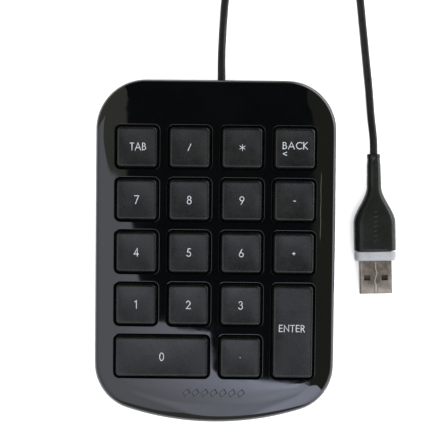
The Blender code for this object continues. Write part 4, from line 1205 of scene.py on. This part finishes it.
def make_domes():
    """Rubber domes with a thin collapsing skirt."""
    profile = (
        (0.0, 0.9), (0.9, 0.9), (1.2, 1.05), (1.3, 1.7), (1.6, 1.75), (2.3, 1.2), (3.0, 0.45),
        (3.2, 0.0), (4.2, 0.0), (4.25, 0.1), (4.25, 0.35), (4.1, 0.45), (3.75, 0.5), (3.3, 0.95),
        (2.7, 1.55), (2.4, 1.85), (2.3, 2.0), (2.25, 2.5), (2.1, 2.6), (0.9, 2.6), (0.0, 2.55),
    )
    for name in KEY_NAMES:
        foot = tilted_box("dome_" + name)[0].z - DECK_Z
        shape = Shape([at_depth(circle(max(r, 0.02) * MM, 28), foot + height * MM) for r, height in profile])
        place = on_deck_at(KEY_PLANS[name][0])
        dome = add_piece(
            "dome_rubber_" + name, shape.moved(place), "dome_rubber",
            ["dome_" + name], smooth_angle=50,
        )
        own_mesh(dome)


def paint_node(node, look_name):
    mesh = frame["nodes"][node].data
    mesh.materials.clear()
    mesh.materials.append(look(look_name))


def make_board_details():
    """Chip legs and small components on the controller board."""
    board, half = node_plan("controller_board")
    chip, chip_half = node_plan("controller_chip")
    top = board.z + half.z

    def block(shape, x, y, wide, long, tall, bevel):
        """A box on the board, with its half width and half length."""
        heights = (top + 0.02 * MM, top + tall * MM)
        shape.loft(box_rings((x - wide, x + wide), (y - long, y + long), heights, bevel * MM))

    legs = Shape()
    for side in (-1, 1):
        for k in range(8):
            x = chip.x + side * (chip_half.x + 0.45 * MM)
            block(legs, x, chip.y + (k - 3.5) * 1.0 * MM, 0.4 * MM, 0.2 * MM, 0.4, 0.05)
    add_piece("chip_legs", legs, "contact_gold", slot="wire_steel")
    parts = Shape()
    for x, y, wide, long, tall in (
        (-15, 2, 1.6, 0.8, 0.7), (-15, -2, 1.6, 0.8, 0.7), (-11, 4, 0.8, 1.6, 0.7),
        (12, 3, 1.6, 0.8, 0.7), (15, 3, 1.6, 0.8, 0.7), (13, -3, 4.6, 2.0, 1.1),
    ):
        block(parts, board.x + x * MM, board.y + y * MM, wide / 2 * MM, long / 2 * MM, tall, 0.06)
    add_piece("board_components", parts, "chip_resin")


# ---------------------------------------------------------------- cord and plug

def coil_points():
    """Turns of the coil: two inward below, one that climbs, and the rest outward above."""
    points = []
    per_turn = 48
    below_turns = 2.0
    climb_turns = 1.0
    leave = (pi - COIL_LEAVE_ANGLE) / (2 * pi)
    above_turns = 2.0 + leave
    total = below_turns + climb_turns + above_turns
    lane = CORD_DIAMETER
    above_start = COIL_OUTER_LANE - lane * above_turns
    for k in range(round(total * per_turn) + 1):
        turn = k / per_turn
        angle = pi - 2 * pi * turn
        if turn <= below_turns:
            radius = COIL_OUTER_LANE - lane * turn
            z = CORD_DIAMETER / 2
        elif turn <= below_turns + climb_turns:
            share = (turn - below_turns) / climb_turns
            radius = COIL_INNER_LANE + (above_start - COIL_INNER_LANE) * eased(share)
            z = CORD_DIAMETER / 2 + lane * sin(pi / 2 * min(1.0, 1.7 * share))
        else:
            radius = COIL_OUTER_LANE - lane * (total - turn)
            z = COIL_TOP_Z
        points.append(Vector((
            COIL_CENTRE[0] + radius * cos(angle), COIL_CENTRE[1] + radius * sin(angle), z
        )))
    return points


def cord_points():
    lead = smooth_route(LEAD_ROUTE + (tuple(coil_points()[0]),), 2.5 * MM)[:-1]
    coil = coil_points()
    leave = coil[-1]
    step = Vector((sin(COIL_LEAVE_ANGLE), -cos(COIL_LEAVE_ANGLE), 0.0))
    off = [leave + step * 4.2 * MM, leave + step * 8.6 * MM - Vector((0, 0, 0.75 * MM))]
    tail_route = [tuple(leave)] + [tuple(p) for p in off] + list(TAIL_ROUTE)
    return lead + coil[:-1] + smooth_route(tail_route, 2.5 * MM)


def make_cord():
    points = cord_points()
    curve = bpy.data.curves.new("cord", "CURVE")
    curve.dimensions = "3D"
    curve.bevel_depth = CORD_DIAMETER / 2
    curve.bevel_resolution = 6
    curve.use_fill_caps = True
    spline = curve.splines.new("POLY")
    spline.points.add(len(points) - 1)
    for target, point in zip(spline.points, points):
        target.co = (point.x, point.y, point.z, 1.0)
    cord = add_piece(
        "cord_jacket", curve, "cord_jacket", ["cord_lead", "cord_coil", "cord_tail"]
    )
    return cord, sum((b - a).length for a, b in zip(points, points[1:]))


def make_tie():
    """A hook-and-loop tape round all the turns of the coil, on its side towards the casing."""
    half_bundle = (COIL_OUTER_LANE - COIL_INNER_LANE + CORD_DIAMETER) / 2
    mean = (COIL_OUTER_LANE + COIL_INNER_LANE) / 2 - 0.3 * MM
    half_turn = 3.2 * MM / mean
    steps = 8

    def loop(thickness, share):
        plan = rounded_rectangle(half_bundle + (0.55 + thickness) * MM, (2.8 + thickness) * MM, 1.4 * MM, 5)
        angle = TIE_ANGLE - half_turn + 2 * half_turn * share
        points = []
        for across, up in plan:
            r = mean + across
            z = max(up + CORD_DIAMETER, 0.02 * MM)
            points.append((COIL_CENTRE[0] + r * cos(angle), COIL_CENTRE[1] + r * sin(angle), z))
        return points

    shape = Shape()
    sweep = [loop(0.12, 0.0)] + [loop(0.35, k / steps) for k in range(steps + 1)] + [loop(0.12, 1.0)]
    shape.loft(sweep, ring_of_rings=True)
    return add_piece("cord_tie", shape, "tie_fabric", slot="cord_jacket")


def across_plug(plan, distance):
    return [(x, -distance, z) for x, z in plan]


def plug_section(half_x, half_z, radius, distance):
    return across_plug(rounded_rectangle(half_x, half_z, radius, 7), distance)


def faceted_section(half_x, half_z, radius, distance, share, steps=7):
    """A plug section whose round corners turn into sloping sides as share goes from 0 to 1."""
    points = []
    for quarter, (sign_x, sign_z) in enumerate(QUARTERS):
        centre_x = sign_x * (half_x - radius)
        centre_z = sign_z * (half_z - radius)
        for k in range(steps + 1):
            angle = pi / 2 * (quarter + k / steps)
            x, z = cos(angle), sin(angle)
            size = (abs(x) ** FACET_POWER + abs(z) ** FACET_POWER) ** (-1 / FACET_POWER)
            x *= 1 + (size - 1) * share
            z *= 1 + (size - 1) * share
            points.append((centre_x + radius * x, -distance, centre_z + radius * z))
    return points


def overmould_section(distance):
    """Half width, half height and corner of the overmould at a distance from the neck's end."""
    if distance <= NECK_LENGTH:
        size = NECK_RADIUS + NECK_GROWTH * distance / NECK_LENGTH
        return size, size, size * 0.98
    share = min(1.0, (distance - NECK_LENGTH) / (FLARE_END - NECK_LENGTH))
    wide_share = eased(share)
    tall_share = 0.5 * (1 - (1 - share) ** 2.0 + wide_share)
    neck = NECK_RADIUS + NECK_GROWTH
    half_x = neck + (OVERMOULD_HALF_WIDTH - neck) * wide_share
    half_z = neck + (OVERMOULD_HALF_HEIGHT - neck) * tall_share
    corner = min(half_x, half_z) * (0.98 - 0.06 * wide_share)
    return half_x, half_z, corner


def make_plug_overmould():
    socket = 1.75 * MM
    rings = [
        plug_section(size, size, corner, distance * MM)
        for size, corner, distance in (
            (socket, socket * 0.98, 6.0),
            (socket, socket * 0.98, 0.0),
            (NECK_RADIUS - 0.45 * MM, NECK_RADIUS * 0.8, 0.0),
            (NECK_RADIUS - 0.15 * MM, NECK_RADIUS * 0.9, 0.12),
            (NECK_RADIUS, NECK_RADIUS * 0.98, 0.45),
            (NECK_RADIUS, NECK_RADIUS * 0.98, 1.5),
            (NECK_RADIUS - 0.12 * MM, NECK_RADIUS * 0.94, 1.7),
            (NECK_RADIUS - 0.05 * MM, NECK_RADIUS * 0.96, 3.0),
        )
    ]
    steps = 30
    for k in range(1, steps + 1):
        distance = 3.0 * MM + (OVERMOULD_END - 0.7 * MM - 3.0 * MM) * k / steps
        share = clamped((distance - NECK_LENGTH) / (FLARE_END - NECK_LENGTH))
        rings.append(faceted_section(*overmould_section(distance), distance, share))
    wide, tall, corner = overmould_section(OVERMOULD_END)
    for k in range(1, 5):
        angle = pi / 2 * k / 4
        inset = 0.35 * MM * (1 - cos(angle))
        distance = OVERMOULD_END - 0.35 * MM * (1 - sin(angle))
        rings.append(faceted_section(wide - inset, tall - inset, corner - inset, distance, 1.0))
    rings.append(plug_section(*SHELL_POCKET, OVERMOULD_END))
    rings.append(plug_section(*SHELL_POCKET, SHELL_START - SLIP))
    shape = Shape(rings)
    return add_piece(
        "plug_overmould_body", shape.moved(PLUG), "plug_body", ["plug_overmould"]
    )


def make_plug_bars():
    """Seven short raised ridges down the middle of the overmould's upper face."""
    shape = Shape()
    for k in range(7):
        distance = 21.6 * MM + k * 1.75 * MM
        half = (0.75 if k % 2 else 0.45) * MM
        top = overmould_section(distance)[1]
        points = [(-half, -distance), (half, -distance + 0.3 * MM)]
        ribbon(shape, points, 0.5 * MM, lambda x, y: top, 0.07 * MM)
    return add_piece("plug_overmould_bars", shape.moved(PLUG), "plug_body")


def make_plug_collar():
    wide = OVERMOULD_HALF_WIDTH - 0.15 * MM
    tall = OVERMOULD_HALF_HEIGHT - 0.15 * MM
    rings = [
        plug_section(*SHELL_POCKET, COLLAR_START),
        plug_section(wide - 0.2 * MM, tall - 0.2 * MM, 2.3 * MM, COLLAR_START),
        plug_section(wide, tall, 2.5 * MM, COLLAR_START + 0.2 * MM),
        plug_section(wide, tall, 2.5 * MM, COLLAR_END - 1.2 * MM),
    ]
    for k in range(1, 6):
        angle = pi / 2 * k / 5
        inset = 1.0 * MM * (1 - cos(angle))
        distance = COLLAR_END - 1.2 * MM + 1.2 * MM * sin(angle)
        rings.append(plug_section(wide - inset, tall - inset * 0.8, 2.5 * MM - inset, distance))
    wide, tall, corner = SHELL_POCKET
    rings.append(plug_section(wide + 0.15 * MM, tall + 0.15 * MM, corner, COLLAR_END))
    rings.append(plug_section(*SHELL_POCKET, COLLAR_END - 0.15 * MM))
    shape = Shape(rings, ring_of_rings=True)
    return add_piece(
        "plug_collar_band", shape.moved(PLUG), "plug_collar", ["plug_collar"]
    )


def make_seam_bead():
    """The folded sheet's joint along the shell's upper face: a low bead that waves at its middle, coloured
    lighter than the shell as a painted highlight along the seam.
    """
    half = 0.13 * MM
    profile = ((-half, -0.05), (-half * 0.6, 0.06), (half * 0.6, 0.06), (half, -0.05))
    start, end = COLLAR_END + 0.3 * MM, SHELL_END - 0.5 * MM
    steps = 48
    rings = []
    for i in range(steps + 1):
        share = i / steps
        wave = 0.42 * MM * sin(2 * pi * (share - 0.25) * 2) if 0.25 <= share <= 0.75 else 0.0
        plan = [(wave + x, SHELL_HALF_HEIGHT + rise * MM) for x, rise in profile]
        rings.append(across_plug(plan, start + (end - start) * share))
    return add_piece(
        "plug_shell_seam", Shape(rings).moved(PLUG), "plug_seam_painted_highlight", slot="plug_shell_metal"
    )


def seam_cutters():
    """A fine slot each side of the bead, where the folded edges meet."""
    slots = Shape()
    low, high = SHELL_HALF_HEIGHT - SHELL_SHEET * 0.6, SHELL_HALF_HEIGHT + MM
    for middle in (-0.62 * MM, 0.62 * MM):
        left, right = middle - 0.08 * MM, middle + 0.08 * MM
        plan = ((left, low), (right, low), (right, high), (left, high))
        slots.loft([across_plug(plan, COLLAR_END - MM), across_plug(plan, SHELL_END + MM)])
    return slots


def make_plug_shell():
    corner = 0.6 * MM
    lip = 0.12 * MM
    inner_corner = corner - SHELL_SHEET
    rings = [
        plug_section(SHELL_HALF_WIDTH - inset, SHELL_HALF_HEIGHT - inset, turn, distance)
        for inset, turn, distance in (
            (0.0, corner, SHELL_START),
            (0.0, corner, SHELL_END - lip),
            (lip / 3, corner, SHELL_END - lip / 3),
            (lip, corner - lip, SHELL_END),
            (SHELL_SHEET - lip / 2, inner_corner, SHELL_END),
            (SHELL_SHEET, inner_corner, SHELL_END - lip),
            (SHELL_SHEET, inner_corner, SHELL_START),
        )
    ]
    shape = Shape(rings, ring_of_rings=True)
    shell = add_piece(
        "plug_shell_metal", shape.moved(PLUG), "plug_shell_nickel", ["plug_shell"], "plug_shell_metal"
    )
    windows = Shape()
    for sign in (-1, 1):
        middle = (sign * WINDOW_OFFSET, WINDOW_FROM_TIP - SHELL_END)
        plan = rounded_rectangle(WINDOW_WIDTH / 2, WINDOW_LENGTH / 2, 0.15 * MM, 3, middle)
        windows.prism(plan, -5 * MM, 5 * MM)
    cut(shell, windows.moved(PLUG))
    cut(shell, seam_cutters().moved(PLUG))
    return shell


def make_plug_tongue():
    middle_z = (TONGUE_TOP + TONGUE_UNDERSIDE) / 2
    half_z = (TONGUE_TOP - TONGUE_UNDERSIDE) / 2

    def section(inset, distance):
        half = (TONGUE_HALF_WIDTH - inset, half_z - inset)
        return across_plug(rounded_rectangle(*half, 0.2 * MM, 4, (0.0, middle_z)), distance)

    shape = Shape()
    shape.loft([
        section(0.0, TONGUE_START), section(0.0, TONGUE_END - 0.5 * MM),
        section(0.12 * MM, TONGUE_END - 0.15 * MM), section(0.35 * MM, TONGUE_END),
    ])
    tongue = add_piece(
        "plug_tongue_blade", shape.moved(PLUG), "plug_tongue", ["plug_tongue"]
    )
    contacts = Shape()
    for x, reach in ((-3.5, 0.8), (-1.0, 1.8), (1.0, 1.8), (3.5, 0.8)):
        contacts.loft(box_rings(
            ((x - 0.5) * MM, (x + 0.5) * MM), (-(TONGUE_END - reach * MM), -(SHELL_END - 4.6 * MM)),
            (TONGUE_TOP - 0.05 * MM, TONGUE_TOP + 0.10 * MM), 0.04 * MM,
        ))
    strips = add_piece("plug_contacts", contacts.moved(PLUG), "contact_gold", slot="plug_tongue")
    return tongue, strips


# ---------------------------------------------------------------- camera, light and floor

VIEW_TARGET = Vector((0.0024, 0.0107, 0.0172))
VIEW_HEIGHT = 0.600
VIEW_WIDTH = 0.161
VIEW_ROLL = radians(0.6)

# The grey card's edge as the deck mirrors it, as (deck y, deck x) in millimetres
CARD_EDGE = (
    (-62.0, 70.0), (-56.0, 53.0), (-52.5, 43.5), (-50.9, 38.7), (-49.1, 27.1), (-47.9, 16.2), (-46.7, 2.0),
    (-43.8, -0.6), (-30.2, -1.6), (-29.2, -13.5), (-27.0, -16.8), (-26.2, -23.0), (-8.6, -28.5),
    (8.6, -30.2), (27.5, -36.2),
)
CARD_REAR_SLOPE = 22.0
CARD_REAR_REACH = 0.260
CARD_FRONT_SLOPE = 1.2


def make_camera():
    data = bpy.data.cameras.new("camera")
    data.sensor_width = 36.0
    data.lens = data.sensor_width * VIEW_HEIGHT / VIEW_WIDTH
    data.clip_start = 0.01
    data.clip_end = 20.0
    camera = new_object("camera", data)
    camera.location = VIEW_TARGET + Vector((0.0, 0.0, VIEW_HEIGHT))
    camera.rotation_euler = (0.0, 0.0, VIEW_ROLL)
    bpy.context.scene.camera = camera


def make_floor():
    half = 4.0
    steps = 8
    sunk = 0.05 * MM
    stops = [-half + 2 * half * i / steps for i in range(steps + 1)]
    shape = Shape([[(x, y, -sunk) for x in stops] for y in stops], caps=False, open_strip=True)
    floor = new_object("floor", shape.mesh("floor"))
    floor.data.materials.append(look("pale_floor"))


def make_light(name, location, size, power):
    data = bpy.data.lights.new(name, "AREA")
    data.shape = "DISK"
    data.size = size
    data.energy = power
    data.color = (1.0, 0.985, 0.965)
    light = new_object(name, data)
    light.location = location
    light.rotation_euler = Vector(location).to_track_quat("Z", "Y").to_euler()
    light.visible_camera = False
    light.visible_glossy = False


def card_edge(n, deck_y):
    """The x of the grey card's edge where the deck mirrors it, as a curve over deck y."""
    low_y, high_y = CARD_EDGE[0][0], CARD_EDGE[-1][0]
    low_x, high_x = -40.0, 80.0
    curve = n.add("ShaderNodeFloatCurve")
    share = n.math("DIVIDE", deck_y - low_y * MM, (high_y - low_y) * MM, clamp=True)
    n.feed(curve.inputs["Value"], share)
    points = curve.mapping.curves[0].points
    places = [((y - low_y) / (high_y - low_y), (x - low_x) / (high_x - low_x)) for y, x in CARD_EDGE]
    points[0].location = places[0]
    points[-1].location = places[-1]
    for place in places[1:-1]:
        points.new(*place)
    for point in points:
        point.handle_type = "VECTOR"
    curve.mapping.update()
    near = Value(n, curve.outputs[0]) * ((high_x - low_x) * MM) + low_x * MM
    far = ((deck_y - high_y * MM).at_least(0.0) * -CARD_REAR_SLOPE).at_least(-CARD_REAR_REACH)
    return near + far + (low_y * MM - deck_y).at_least(0.0) * CARD_FRONT_SLOPE


def make_world():
    """The studio that the gloss reflects: dark overhead, a grey card left and in front."""
    world = bpy.data.worlds.new("studio")
    bpy.context.scene.world = world
    world.use_nodes = True
    n = Nodes(world.node_tree)
    background = world.node_tree.nodes["Background"]
    direction = n.add("ShaderNodeTexCoord").outputs["Generated"]
    split = n.add("ShaderNodeSeparateXYZ", {0: direction})
    dx, dy, dz = (Value(n, socket) for socket in split.outputs)
    steep = dz.at_least(0.02)

    # where the flat deck, seen from straight above, mirrors this direction
    deck_x = dx / steep * VIEW_HEIGHT + VIEW_TARGET.x
    deck_y = (dy / steep + 2 * sin(DECK_TILT)) * VIEW_HEIGHT + VIEW_TARGET.y

    # the card: left of its edge, not behind the casing and not off to the right
    card = n.ramp(card_edge(n, deck_y) - deck_x, -0.4 * MM, 0.4 * MM)
    card = card * n.ramp(deck_y, 0.120, 0.140, 1.0, 0.0)
    past = (dx - 0.048).at_least(0.0)
    climb = (past * 0.906).at_most(past * 0.55 + 0.030)
    off_right = n.ramp(dx, 0.046, 0.050) * n.ramp(climb + 0.199 + dy, -0.003, 0.003)
    card = card * (1.0 - off_right)

    # it is brightest near its right end and dimmer towards the front and the horizon
    share = n.math("DIVIDE", deck_x + 0.036, 0.066, clamp=True)
    glow = (n.math("EXPONENT", share * 1.25) - 1.0) / 2.49
    glow = glow * n.ramp(deck_y, -0.056, -0.0475, 0.5, 1.0) * n.ramp(deck_y, -0.170, -0.056, 0.45, 1.0)
    lift = n.ramp(deck_y, -0.150, -0.046, 0.19, 0.0) * n.ramp(deck_x, -0.060, -0.030)
    glow = glow.at_least(lift).at_least(n.ramp(dx, 0.05, 0.13, 0.0, 0.56))
    card_colour = n.mix(glow, rgb(1.80, 1.84, 2.06), rgb(6.1, 6.6, 8.3))
    card_colour = n.scaled(card_colour, n.ramp(dz, 0.0, 0.85, 0.55, 1.0))
    below = n.ramp(0.74 - abs(dx + 0.07) - dz, -0.02, 0.02)
    in_front = n.ramp(dy + abs(dx), -0.15, 0.0, 1.0, 0.0)
    card_colour = n.mix(below * in_front, card_colour, rgb(0.50, 0.52, 0.50))

    # the rest of the studio: dark overhead, olive walls right and far left, pale horizon
    lean = (dy + 0.04).at_least(0.0) * 0.478
    room = n.mix(n.ramp(dx - lean, 0.0540, 0.0556), rgb(0.012, 0.020, 0.024), rgb(0.21, 0.22, 0.16))
    corner = n.ramp(dx + lean, -0.0584, -0.0572, 1.0, 0.0) * n.ramp(deck_y, 0.014, 0.020)
    room = n.mix(corner, room, rgb(0.60, 0.62, 0.52))
    horizon = n.ramp(dz, 0.18, 0.42, 1.0, 0.0) * n.ramp(dx, -0.2, 0.5, 0.3, 1.0)
    rear_right = n.ramp(dy, -0.3, 0.4, 0.0, 1.8) * n.ramp(dx, 0.1, 0.5)
    horizon = horizon * (rear_right + 1.0)
    bend = n.math("SINE", deck_y * 750.0) * (2.2 * MM)
    streak = n.ramp(abs(deck_x - 52.0 * MM - bend), 2.6 * MM, 3.8 * MM, 1.0, 0.0)
    span = n.ramp(deck_y, 0.004, 0.006) * n.ramp(deck_y, 0.027, 0.029, 1.0, 0.0)
    room = n.mix(streak * span, room, rgb(3.4, 3.5, 3.1))
    room = n.mix(horizon.at_most(1.0), room, n.scaled((2.5, 2.5, 2.6), horizon))
    n.feed(background.inputs["Color"], n.mix(card, room, card_colour))
    background.inputs["Strength"].default_value = 1.0


def make_studio():
    bpy.context.scene.view_settings.view_transform = "Standard"
    make_floor()
    make_world()
    make_light("overhead_light", (0.15, 0.1, 1.9), 3.8, 88.0)
    make_light("right_light", (1.5, 0.3, 0.9), 1.2, 14.0)


# ---------------------------------------------------------------- assembly

# CAD nodes that keep their shape
PAINTED_NODES = {
    "key_guide_frame": "guide_plastic",
    "membrane_upper": "membrane_film",
    "membrane_spacer": "membrane_film",
    "membrane_lower": "membrane_film",
    "back_plate": "plate_steel",
    "controller_board": "board_laminate",
    "controller_chip": "chip_resin",
    "stabiliser_bar_0": "wire_steel",
    "stabiliser_bar_enter": "wire_steel",
}


def build():
    make_camera()
    cord, cord_length = make_cord()
    tie = make_tie()
    overmould = make_plug_overmould()
    bars = make_plug_bars()
    collar = make_plug_collar()
    shell = make_plug_shell()
    seam = make_seam_bead()
    tongue, contacts = make_plug_tongue()

    make_top_cover()
    make_lip_pattern()
    for name in KEY_NAMES:
        make_keycap(name)
        make_legend(name)
    cut_tray_from_outside(make_bottom_cover())
    make_feet()
    make_screws()
    make_domes()
    for node, look_name in PAINTED_NODES.items():
        paint_node(node, look_name)
    make_board_details()
    make_studio()


build()
